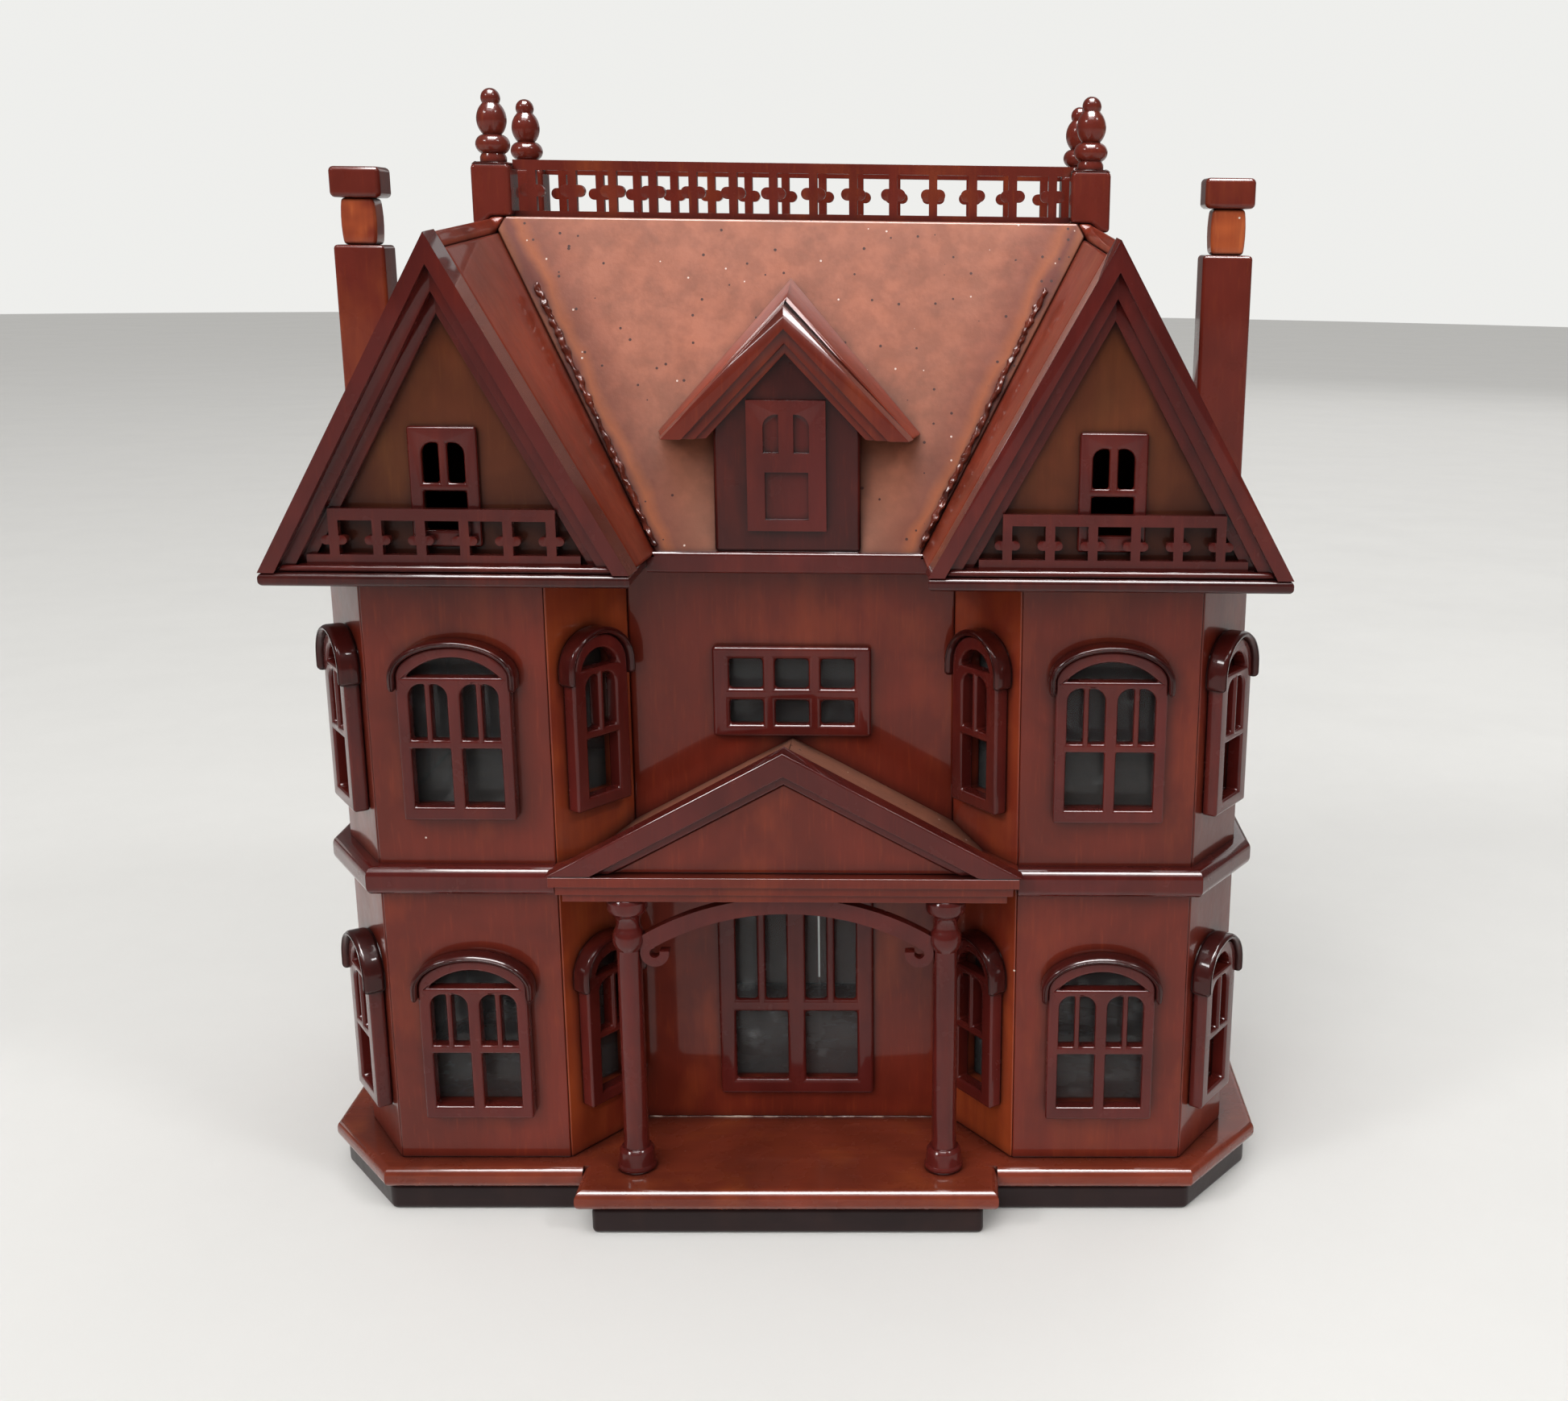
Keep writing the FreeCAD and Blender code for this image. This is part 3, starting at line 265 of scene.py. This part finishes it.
GRAIN = {"upright": (1.0, 1.0, 0.09), "level": (0.09, 1.0, 1.0), "deep": (1.0, 0.09, 1.0)}


def varnished_wood(name, thin, thick, warm, corner_shade, gloss, grain="upright", satin=0.30,
                   corner_shade_reach=2.2 * MM, dust=0.04):
    """Stained wood under varnish: grain streaks, thin and thick patches, painted shade in the corners,
    dust.
    """
    wood = Recipe(name)
    streaks = wood.noise(wood.stretched(GRAIN[grain]), 900, detail=4, distortion=0.4)
    fibres = wood.noise(wood.stretched(GRAIN[grain], (0.3, 0.1, 0.7)), 2600, detail=2)
    patches = wood.noise(wood.place, 55, detail=3, roughness=0.6, distortion=0.6)
    clouds = wood.noise(wood.stretched((1, 1, 0.5), (0.2, 0.4, 0.1)), 120, detail=4)
    body = wood.mix(wood.ramp(patches, (0.36, 0.0), (0.66, 1.0)), thick, thin)
    body = wood.mix(wood.ramp(clouds, (0.52, 0.0), (0.80, 0.60)), body, warm)
    body = wood.mix(wood.ramp(streaks, (0.30, 0.40), (0.62, 0.0)), body, thick)
    body = wood.mix(wood.ramp(fibres, (0.58, 0.0), (0.80, 0.22)), body, warm)
    # painted shade: the wood darkens in its corners and recesses
    gathered = wood.ramp(wood.corners(corner_shade_reach), (0.25, 0.9), (0.82, 0.0))
    body = wood.mix(gathered, body, corner_shade)
    if dust:
        body = wood.mix(wood.specks(260, 0.035, dust), body, (0.55, 0.45, 0.38))
    matt = wood.noise(wood.place, 240, detail=4)
    roughness = wood.maths("ADD", wood.maths("MULTIPLY", matt, 0.22), satin - 0.10)
    peel = wood.bump(wood.noise(wood.place, 750, detail=2), 0.22, 0.10 * MM)
    lumps = wood.bump(wood.noise(wood.place, 190, detail=2), 0.20, 0.25 * MM, peel)
    normal = wood.bump(streaks, 0.10, 0.06 * MM, lumps)
    wood.shader.inputs["Specular IOR Level"].default_value = 0.10
    wood.shader.inputs["Coat Weight"].default_value = gloss
    wood.shader.inputs["Coat Roughness"].default_value = 0.06
    wood.shader.inputs["Coat IOR"].default_value = 1.34
    return wood.finish(body, roughness, normal)


def darker(tone, share):
    return tuple(share * value for value in tone)


def finishes():
    """Every wood finish of the house, by the record's slot."""
    f = bpy.context.scene.dollhouse_finish
    wall, warm, trim, turned, base = map(tuple, (f.wall, f.wall_warm, f.trim, f.turned, f.base))
    corner_shade, gloss = tuple(f.corner_shade), f.gloss
    orange = (0.260, 0.055, 0.014)
    return {
        "wall_varnish": varnished_wood("wall_varnish", wall, darker(wall, 0.62), warm, corner_shade,
                                       gloss, satin=0.36),
        "thin_varnish": varnished_wood("thin_varnish", warm, wall, orange, corner_shade, gloss,
                                       satin=0.34),
        "dark_varnish": varnished_wood("dark_varnish", darker(trim, 0.55), darker(trim, 0.3), wall,
                                       corner_shade, gloss, satin=0.30),
        "trim_varnish": varnished_wood("trim_varnish", trim, darker(trim, 0.6), wall, corner_shade,
                                       gloss, satin=0.24, corner_shade_reach=0.9 * MM),
        "neck_varnish": varnished_wood("neck_varnish", (0.48, 0.110, 0.030), turned,
                                       (0.60, 0.19, 0.06), corner_shade, gloss, satin=0.30),
        "turned_varnish": varnished_wood("turned_varnish", turned, darker(turned, 0.7), orange,
                                         corner_shade, gloss, satin=0.28),
        "base_varnish": varnished_wood("base_varnish", base, darker(base, 0.6), orange, corner_shade,
                                       gloss, grain="level", satin=0.26, corner_shade_reach=3.0 * MM),
        "gable_stain": varnished_wood("gable_stain", tuple(f.gable), darker(f.gable, 0.55),
                                      (0.13, 0.045, 0.012), corner_shade, 0.35, satin=0.42,
                                      corner_shade_reach=4.0 * MM),
        "plinth_stain": varnished_wood("plinth_stain", tuple(f.plinth), darker(f.plinth, 0.6),
                                       (0.035, 0.014, 0.010), corner_shade, 0.45, grain="level",
                                       satin=0.34),
        "slope_varnish": varnished_wood("slope_varnish", tuple(f.slope), darker(f.slope, 0.55),
                                        (0.32, 0.060, 0.022), corner_shade, 0.32, satin=0.38,
                                        corner_shade_reach=3.0 * MM, dust=0.10),
        "plain_wood": varnished_wood("plain_wood", tuple(f.plain), darker(f.plain, 0.6),
                                     (0.22, 0.11, 0.05), corner_shade, 0.1, grain="deep", satin=0.5),
        "roof_varnish": roof_wood(f, "roof_varnish"),
        "roof_valley_shade": roof_wood(f, "roof_valley_shade", valleys=True),
    }


def roof_wood(f, name, valleys=False):
    """Satin roof boards, dusty and mottled, with painted shade towards the eaves and in the corners;
    the front slope also gets painted shade along its valleys.
    """
    wood = Recipe(name)
    roof = tuple(f.roof)
    patches = wood.noise(wood.place, 45, detail=4, roughness=0.6, distortion=0.5)
    fine = wood.noise(wood.place, 420, detail=3)
    body = wood.mix(wood.ramp(patches, (0.34, 0.55), (0.66, 0.0)), roof, darker(roof, 0.62))
    body = wood.mix(wood.ramp(fine, (0.40, 0.45), (0.62, 0.0)), body, darker(roof, 0.45))
    grime = wood.noise(wood.stretched((1, 1, 0.7), (0.1, 0.5, 0.3)), 150, detail=5, roughness=0.7)
    body = wood.mix(wood.ramp(grime, (0.50, 0.0), (0.74, 0.42)), body, (0.110, 0.036, 0.018))
    below = wood.maths("SUBTRACT", VALLEY_FOOT.z + EAVES_SHADE, wood.height())
    low = wood.maths("DIVIDE", below, EAVES_SHADE)
    body = wood.mix(wood.ramp(low, (0.0, 0.0), (1.0, 0.66)), body, (0.160, 0.066, 0.040))
    if valleys:
        body = valley_tint(wood, body)
    # painted shade in the roof's corners and recesses
    body = wood.mix(wood.ramp(wood.corners(3.0 * MM), (0.25, 0.85), (0.85, 0.0)), body, tuple(f.corner_shade))
    pits = wood.specks(950, 0.17, 0.16)
    body = wood.mix(pits, body, (0.05, 0.016, 0.012))
    body = wood.mix(wood.specks(900, 0.11, 0.10, (0.4, 0.2, 0.1)), body, (0.62, 0.50, 0.44))
    roughness = wood.maths("ADD", wood.maths("MULTIPLY", wood.noise(wood.place, 300), 0.20), 0.34)
    grit = wood.bump(wood.noise(wood.place, 1300, detail=3), 0.30, 0.08 * MM)
    normal = wood.bump(pits, 0.5, 0.08 * MM, grit)
    wood.shader.inputs["Specular IOR Level"].default_value = 0.18
    wood.shader.inputs["Coat Weight"].default_value = 0.22
    wood.shader.inputs["Coat Roughness"].default_value = 0.26
    return wood.finish(body, roughness, normal)


def valley_tint(wood, body):
    """Painted shade in dark red along the two valleys, with a thin lighter orange line beside the
    filler.
    """
    wobble = wood.maths("MULTIPLY", wood.noise(wood.place, 130, detail=3), VALLEY_WOBBLE)
    away = wood.maths("DIVIDE", wood.maths("ADD", valley_distance(wood), wobble), VALLEY_BAND)
    # painted shade: dark red band along each valley
    gathered = wood.ramp(away, (0.10, 1.0), (0.42, 0.55), (1.0, 0.0))
    body = wood.mix(gathered, body, (0.120, 0.020, 0.010))
    orange_line = wood.ramp(away, (0.22, 0.0), (0.34, 0.50), (0.50, 0.0))
    return wood.mix(orange_line, body, (0.400, 0.110, 0.028))


def valley_distance(wood):
    """How far inside the two valleys a point of the front slope lies, level with it."""
    slope = (VALLEY_TOP.x - VALLEY_FOOT.x) / (VALLEY_TOP.z - VALLEY_FOOT.z)
    height = wood.maths("SUBTRACT", wood.height(), VALLEY_FOOT.z)
    edge = wood.maths("ADD", wood.maths("MULTIPLY", height, slope), VALLEY_FOOT.x)
    side = wood.maths("ABSOLUTE", wood.sideways())
    return wood.maths("ABSOLUTE", wood.maths("SUBTRACT", edge, side))


def clear_film():
    """Clear glossy film with a few faint pale patches that are painted reflections."""
    film = Recipe("clear_film")
    # painted reflections: pale patches on the film
    reflection_patches = film.ramp(film.noise(film.place, 320, detail=3), (0.58, 0.0), (0.75, 0.5))
    body = film.mix(reflection_patches, (0.11, 0.11, 0.11), (0.50, 0.51, 0.51))
    matt = film.maths("ADD", film.maths("MULTIPLY", reflection_patches, 0.25), 0.04)
    normal = film.bump(film.noise(film.place, 260, detail=2), 0.35, 0.15 * MM)
    film.shader.inputs["Alpha"].default_value = 0.20
    return film.finish(body, matt, normal)


def aged_brass():
    metal = Recipe("aged_brass")
    tarnish = metal.ramp(metal.noise(metal.place, 900, detail=4), (0.40, 0.0), (0.70, 1.0))
    body = metal.mix(tarnish, (0.52, 0.34, 0.12), (0.22, 0.12, 0.05))
    matt = metal.maths("ADD", metal.maths("MULTIPLY", tarnish, 0.3), 0.22)
    normal = metal.bump(metal.noise(metal.place, 2500), 0.15, 0.05 * MM)
    metal.shader.inputs["Metallic"].default_value = 1.0
    return metal.finish(body, matt, normal)


def filler():
    """Dark lumpy filler with a thin coat of varnish over it."""
    glue = Recipe("valley_filler")
    tone = glue.noise(glue.place, 420, detail=4)
    thin = glue.ramp(tone, (0.35, 0.0), (0.65, 1.0))
    body = glue.mix(thin, (0.045, 0.010, 0.007), (0.140, 0.026, 0.014))
    matt = glue.maths("ADD", glue.maths("MULTIPLY", tone, 0.25), 0.12)
    normal = glue.bump(glue.noise(glue.place, 1500, detail=3), 0.35, 0.12 * MM)
    glue.shader.inputs["Specular IOR Level"].default_value = 0.10
    glue.shader.inputs["Coat Weight"].default_value = 0.12
    glue.shader.inputs["Coat Roughness"].default_value = 0.06
    return glue.finish(body, matt, normal)


def glue_line():
    """Dried white glue."""
    glue = Recipe("dried_glue")
    tone = glue.ramp(glue.noise(glue.place, 380, detail=4), (0.50, 0.0), (0.66, 1.0))
    body = glue.mix(tone, (0.070, 0.018, 0.012), (0.34, 0.24, 0.19))
    matt = glue.maths("ADD", glue.maths("MULTIPLY", tone, 0.2), 0.25)
    return glue.finish(body, matt, glue.bump(tone, 0.3, 0.05 * MM))


# ---- shaping ----
def deselect():
    if bpy.context.object and bpy.context.object.mode != "OBJECT":
        bpy.ops.object.mode_set(mode="OBJECT")
    bpy.ops.object.select_all(action="DESELECT")


def chosen(piece):
    deselect()
    piece.select_set(True)
    bpy.context.view_layer.objects.active = piece


def soft_edges(node, width, segments=3, angle=28):
    """Rounds a board's edges as sanding and thick varnish do."""
    piece = NODES[node]
    chosen(piece)
    bpy.ops.object.shade_smooth()
    weld = piece.modifiers.new("one skin", "WELD")
    weld.merge_threshold = SKIN
    whole = piece.modifiers.new("whole faces", "DECIMATE")
    whole.decimate_type = "DISSOLVE"
    whole.angle_limit = math.radians(WHOLE_FACE)
    even = piece.modifiers.new("even triangles", "TRIANGULATE")
    even.ngon_method = "BEAUTY"
    bevel = piece.modifiers.new("soft edges", "BEVEL")
    bevel.width = width
    bevel.segments = segments
    bevel.limit_method = "ANGLE"
    bevel.angle_limit = math.radians(angle)
    bevel.use_clamp_overlap = True
    bevel.loop_slide = False
    shade = piece.modifiers.new("flat faces stay flat", "WEIGHTED_NORMAL")
    shade.mode = "FACE_AREA"
    shade.weight = 80


def give(material, *nodes):
    for node in nodes:
        for slot in NODES[node].material_slots:
            slot.material = material


def nodes_of(slot):
    return [part["node"] for part in frame["record"]["subparts"] if part.get("material_slot") == slot]


def lumpy_bead(name, start, end, radius, cuts, lump, seed):
    """A hand-laid bead of glue from start to end: a cylinder, cut across, swollen and smoothed."""
    deselect()
    along = end - start
    turn = along.to_track_quat("Z", "Y").to_euler()
    bpy.ops.mesh.primitive_cylinder_add(
        vertices=12, radius=radius, depth=along.length, location=(start + end) / 2, rotation=turn)
    piece = bpy.context.object
    piece.name = name
    bpy.ops.object.transform_apply(location=True, rotation=True, scale=True)
    bpy.ops.object.mode_set(mode="EDIT")
    bpy.ops.mesh.select_mode(type="EDGE")
    bpy.ops.mesh.select_all(action="DESELECT")
    bpy.ops.object.mode_set(mode="OBJECT")
    direction = along.normalized()
    for edge in piece.data.edges:
        first, second = (piece.data.vertices[i].co for i in edge.vertices)
        edge.select = abs((second - first).normalized().dot(direction)) > 0.9
    bpy.ops.object.mode_set(mode="EDIT")
    bpy.ops.mesh.subdivide(number_cuts=cuts)
    bpy.ops.mesh.select_all(action="SELECT")
    bpy.ops.transform.vertex_random(offset=lump, uniform=0.25, normal=0.9, seed=seed)
    bpy.ops.mesh.vertices_smooth(factor=0.5, repeat=2)
    bpy.ops.mesh.normals_make_consistent(inside=False)
    bpy.ops.object.mode_set(mode="OBJECT")
    bpy.ops.object.shade_smooth()
    return piece


def applied(piece, kind, **settings):
    chosen(piece)
    modifier = piece.modifiers.new(kind.lower(), kind)
    for key, value in settings.items():
        setattr(modifier, key, value)
    bpy.ops.object.modifier_apply(modifier=modifier.name)


def settled(piece, material, body, slot, *nodes):
    """Gives a finished piece its material and its body. The slot it is given is not used."""
    piece.data.materials.clear()
    piece.data.materials.append(material)
    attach(piece, body)
    if nodes:
        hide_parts(*nodes)


# ---- one operator for each group of like pieces ----
class WallsOperator(bpy.types.Operator):
    """Varnish the wall boards, the pediment panel and the back doors"""
    bl_idname = "dollhouse.walls"
    bl_label = "Walls and Doors"

    def execute(self, context):
        edge = context.scene.dollhouse_edges.board
        for node in nodes_of("wall_varnish"):
            coat = "thin_varnish" if "inner_wall" in node else "wall_varnish"
            give(finishes_made()[coat], node)
            soft_edges(node, edge, 2)
        return {"FINISHED"}


class TrimOperator(bpy.types.Operator):
    """Varnish the frames, hoods, rakes, string courses and railings"""
    bl_idname = "dollhouse.trim"
    bl_label = "Trim and Railings"
    coats = {
        "dormer_block": "dark_varnish", "gable_bases": "dark_varnish",
        "front_deck_railing": "turned_varnish", "rear_deck_railing": "turned_varnish",
        "dormer_rakes": "wall_varnish", "entablature": "wall_varnish", "window_hoods": "dark_varnish",
    }

    def execute(self, context):
        edges = context.scene.dollhouse_edges
        for node in nodes_of("trim_varnish"):
            give(finishes_made()[self.coats.get(node, "trim_varnish")], node)
            if "railing" in node:
                width = edges.fret
            elif node == "window_hoods":
                width = edges.rounded
            else:
                width = edges.trim
            soft_edges(node, width)
        return {"FINISHED"}


class TurnedOperator(bpy.types.Operator):
    """Varnish the columns, posts, finials and chimneys"""
    bl_idname = "dollhouse.turned"
    bl_label = "Columns, Posts and Chimneys"
    coats = {"chimney_necks": "neck_varnish", "porch_columns": "trim_varnish"}

    def execute(self, context):
        for node in nodes_of("turned_varnish"):
            give(finishes_made()[self.coats.get(node, "turned_varnish")], node)
            soft_edges(node, context.scene.dollhouse_edges.trim)
        return {"FINISHED"}


class RoofOperator(bpy.types.Operator):
    """Varnish the roof boards"""
    bl_idname = "dollhouse.roof"
    bl_label = "Roof"
    red = ("side_roof", "gable_roof", "dormer_roof")

    def execute(self, context):
        edges = context.scene.dollhouse_edges
        for node in nodes_of("roof_varnish"):
            if any(word in node for word in self.red):
                give(finishes_made()["slope_varnish"], node)
                soft_edges(node, edges.rounded)
            else:
                coat = "roof_valley_shade" if node == "main_roof_front" else "roof_varnish"
                give(finishes_made()[coat], node)
                soft_edges(node, edges.board)
        return {"FINISHED"}


class BaseOperator(bpy.types.Operator):
    """Varnish the base board and porch floor, and stain the plinth"""
    bl_idname = "dollhouse.base"
    bl_label = "Base and Plinth"

    def execute(self, context):
        edges = context.scene.dollhouse_edges
        for slot in ("base_varnish", "plinth_stain"):
            for node in nodes_of(slot):
                give(finishes_made()[slot], node)
                soft_edges(node, edges.rounded, 4)
        return {"FINISHED"}


class GablesOperator(bpy.types.Operator):
    """Stain the gable walls and the boards inside"""
    bl_idname = "dollhouse.gables"
    bl_label = "Gable Walls and Inner Boards"

    def execute(self, context):
        for slot in ("gable_stain", "plain_wood"):
            for node in nodes_of(slot):
                give(finishes_made()[slot], node)
                soft_edges(node, context.scene.dollhouse_edges.board, 1)
        return {"FINISHED"}


class FittingsOperator(bpy.types.Operator):
    """Brass for the hinge pins and door knobs"""
    bl_idname = "dollhouse.fittings"
    bl_label = "Pins and Knobs"

    def execute(self, context):
        give(aged_brass(), *nodes_of("brass"))
        for node in nodes_of("brass"):
            soft_edges(node, 0.08 * MM, 2, 35)
        return {"FINISHED"}


class FilmOperator(bpy.types.Operator):
    """Slightly crinkled clear film behind the windows"""
    bl_idname = "dollhouse.film"
    bl_label = "Window Film"

    def execute(self, context):
        chosen(NODES["window_film"])
        bpy.ops.object.duplicate()
        film = context.object
        film.modifiers.clear()
        for key in [key for key in film.keys() if key.startswith("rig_")]:
            del film[key]
        film.name = "crinkled_window_film"
        film.parent = None
        bpy.ops.object.mode_set(mode="EDIT")
        bpy.ops.mesh.select_all(action="SELECT")
        bpy.ops.mesh.remove_doubles(threshold=SKIN)
        bpy.ops.mesh.tris_convert_to_quads()
        bpy.ops.mesh.subdivide(number_cuts=FILM_CUTS)
        bpy.ops.transform.vertex_random(offset=FILM_CRINKLE, uniform=0.0, normal=1.0, seed=11)
        bpy.ops.mesh.vertices_smooth(factor=0.5, repeat=2)
        bpy.ops.object.mode_set(mode="OBJECT")
        bpy.ops.object.shade_smooth()
        settled(film, clear_film(), BODY, "clear_film", "window_film")
        return {"FINISHED"}


class FillerOperator(bpy.types.Operator):
    """Lumpy filler along the valleys between the gables and the front slope"""
    bl_idname = "dollhouse.filler"
    bl_label = "Valley Filler"

    def execute(self, context):
        radius = context.scene.dollhouse_edges.bead
        material = filler()
        lumps = bpy.data.textures.new("filler_lumps", "CLOUDS")
        lumps.noise_scale = 0.6 * MM
        for side, seed in ((-1, 4), (1, 9)):
            start = Vector((side * VALLEY_FOOT.x, VALLEY_FOOT.y, VALLEY_FOOT.z + FILLER_RISE))
            top = Vector((side * VALLEY_TOP.x, VALLEY_TOP.y, VALLEY_TOP.z))
            end = start.lerp(top, FILLER_LENGTH)
            name = "left_valley_filler" if side < 0 else "right_valley_filler"
            bead = lumpy_bead(name, start, end, radius, FILLER_CUTS, FILLER_LUMP, seed)
            applied(bead, "SUBSURF", levels=1, render_levels=1)
            applied(bead, "DISPLACE", texture=lumps, texture_coords="GLOBAL", strength=0.45 * MM,
                    mid_level=0.55)
            settled(bead, material, BODY, "roof_varnish")
        return {"FINISHED"}


class GlueOperator(bpy.types.Operator):
    """Thin line of dried glue where the hall wall stands on the porch floor"""
    bl_idname = "dollhouse.glue"
    bl_label = "Glue Line"

    def execute(self, context):
        low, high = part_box("hall_wall")
        middle = low.z + 0.05 * MM
        start = Vector((low.x + GLUE_END, low.y, middle))
        end = Vector((high.x - GLUE_END, low.y, middle))
        line = lumpy_bead("hall_glue_line", start, end, GLUE_RADIUS, GLUE_CUTS, GLUE_LUMP, 21)
        settled(line, glue_line(), BODY, "clear_film")
        return {"FINISHED"}


class StageOperator(bpy.types.Operator):
    """Floor, soft lights, surroundings and camera"""
    bl_idname = "dollhouse.stage"
    bl_label = "Stage"

    def execute(self, context):
        stage = context.scene.dollhouse_stage
        deselect()
        bpy.ops.mesh.primitive_circle_add(vertices=96, radius=FLOOR_RADIUS, fill_type="NGON")
        floor = context.object
        floor.name = "pale_floor"
        stone = Recipe("pale_floor")
        cloud = stone.ramp(stone.noise(stone.place, 14, detail=5), (0.35, 0.0), (0.7, 1.0))
        body = stone.mix(cloud, tuple(stage.floor), darker(stage.floor, 0.93))
        matt = stone.maths("ADD", stone.maths("MULTIPLY", cloud, 0.1), 0.45)
        floor.data.materials.append(
            stone.finish(body, matt, stone.bump(stone.noise(stone.place, 300), 0.08, 0.1 * MM)))
        daylight((-0.28, -1.00, 0.72), stage.daylight)
        area_light("top_softbox", (-0.10, -0.22, 0.90), 0.50, 0.50, stage.top_light)
        area_light("back_softbox", (0.45, 0.95, 0.60), 0.80, 0.80, stage.back_light)
        area_light("front_softbox", (-0.05, -0.55, 0.85), 0.60, 0.32, stage.shine, glints=True)
        area_light("overhead_glints", (0.0, -0.16, 0.95), 0.60, 0.60, stage.glints, glints=True)
        area_light("left_window", (-0.62, -0.50, 0.62), 0.20, 0.11, stage.window_light)
        area_light("right_window", (0.55, -0.42, 0.72), 0.16, 0.09, 0.7 * stage.window_light)
        surroundings(tuple(stage.sky))
        house_camera()
        context.scene.view_settings.view_transform = "Standard"
        return {"FINISHED"}


def area_light(name, place, width, height, energy, glints=False):
    """A large soft light that points at the middle of the house; glints alone if asked."""
    light = new_light(name, "AREA", place, (0, 0, 0.06))
    light.data.shape = "RECTANGLE"
    light.data.size = width
    light.data.size_y = height
    light.data.energy = energy
    light.visible_diffuse = not glints


def daylight(place, strength):
    """Very soft light that the varnish does not mirror."""
    light = new_light("daylight", "SUN", place, (0, 0, 0))
    light.data.angle = math.radians(48)
    light.data.energy = strength
    light.visible_glossy = False


def new_light(name, kind, place, target):
    aim = Vector(target) - Vector(place)
    bpy.ops.object.light_add(
        type=kind, location=place, rotation=aim.to_track_quat("-Z", "Y").to_euler())
    light = bpy.context.object
    light.name = name
    return light


def surroundings(tone):
    """A pale room: bright where it is seen, softer as light, and dim in the varnish."""
    world = bpy.data.worlds.new("pale_room")
    world.use_nodes = True
    tree = world.node_tree
    back = tree.nodes["Background"]
    back.inputs["Color"].default_value = (*tone, 1.0)
    ray = tree.nodes.new("ShaderNodeLightPath")
    seen = tree.nodes.new("ShaderNodeMapRange")
    seen.inputs["To Min"].default_value = 0.58
    seen.inputs["To Max"].default_value = 1.0
    glossy = tree.nodes.new("ShaderNodeMath")
    glossy.operation = "MULTIPLY_ADD"
    glossy.inputs[1].default_value = -0.42
    tree.links.new(ray.outputs["Is Camera Ray"], seen.inputs["Value"])
    tree.links.new(ray.outputs["Is Glossy Ray"], glossy.inputs[0])
    tree.links.new(seen.outputs["Result"], glossy.inputs[2])
    tree.links.new(glossy.outputs[0], back.inputs["Strength"])
    bpy.context.scene.world = world


def house_camera():
    """A camera just above the eaves, right of the middle, looking down and held a little askew."""
    turn = Matrix.Rotation(math.radians(-1.305), 3, "Z")
    tilt = Matrix.Rotation(math.radians(75.238), 3, "X")
    roll = Matrix.Rotation(math.radians(0.722), 3, "Z")
    bpy.ops.object.camera_add(location=(0.01703, -0.21871, 0.11659),
                              rotation=(turn @ tilt @ roll).to_euler())
    camera = bpy.context.object
    camera.name = "house_camera"
    camera.data.sensor_width = 36.0
    camera.data.lens = 40.18
    camera.data.shift_x = -0.1197
    camera.data.shift_y = -0.0025
    camera.data.clip_start = 0.005
    camera.data.clip_end = 20.0
    bpy.context.scene.camera = camera


_made = {}


def finishes_made():
    """The wood finishes, mixed once and shared by every piece."""
    if not _made:
        _made.update(finishes())
    return _made


PIECES = (
    StageOperator, WallsOperator, TrimOperator, TurnedOperator, RoofOperator, BaseOperator,
    GablesOperator, FittingsOperator, FilmOperator, FillerOperator, GlueOperator,
)


class DollhousePanel(bpy.types.Panel):
    """Colours, edges, lights and pieces of the dollhouse"""
    bl_label = "Dollhouse"
    bl_idname = "VIEW3D_PT_dollhouse"
    bl_space_type = "VIEW_3D"
    bl_region_type = "UI"
    bl_category = "Dollhouse"

    def draw(self, context):
        for title, group in (("Finish", context.scene.dollhouse_finish),
                             ("Edges", context.scene.dollhouse_edges),
                             ("Stage", context.scene.dollhouse_stage)):
            part = self.layout.box()
            part.label(text=title)
            for key in group.__annotations__:
                part.prop(group, key)
        for piece in PIECES:
            self.layout.operator(piece.bl_idname)


GROUPS = {
    "dollhouse_finish": DollhouseFinish,
    "dollhouse_edges": DollhouseEdges,
    "dollhouse_stage": DollhouseStage,
}


def register():
    for group in GROUPS.values():
        bpy.utils.register_class(group)
    for key, group in GROUPS.items():
        setattr(bpy.types.Scene, key, bpy.props.PointerProperty(type=group))
    for piece in (*PIECES, DollhousePanel):
        bpy.utils.register_class(piece)


def unregister():
    for piece in reversed((*PIECES, DollhousePanel)):
        bpy.utils.unregister_class(piece)
    for key in GROUPS:
        delattr(bpy.types.Scene, key)
    for group in reversed(tuple(GROUPS.values())):
        bpy.utils.unregister_class(group)


def main():
    register()
    for piece in PIECES:
        area, name = piece.bl_idname.split(".")
        getattr(getattr(bpy.ops, area), name)()


if __name__ == "__main__":
    main()
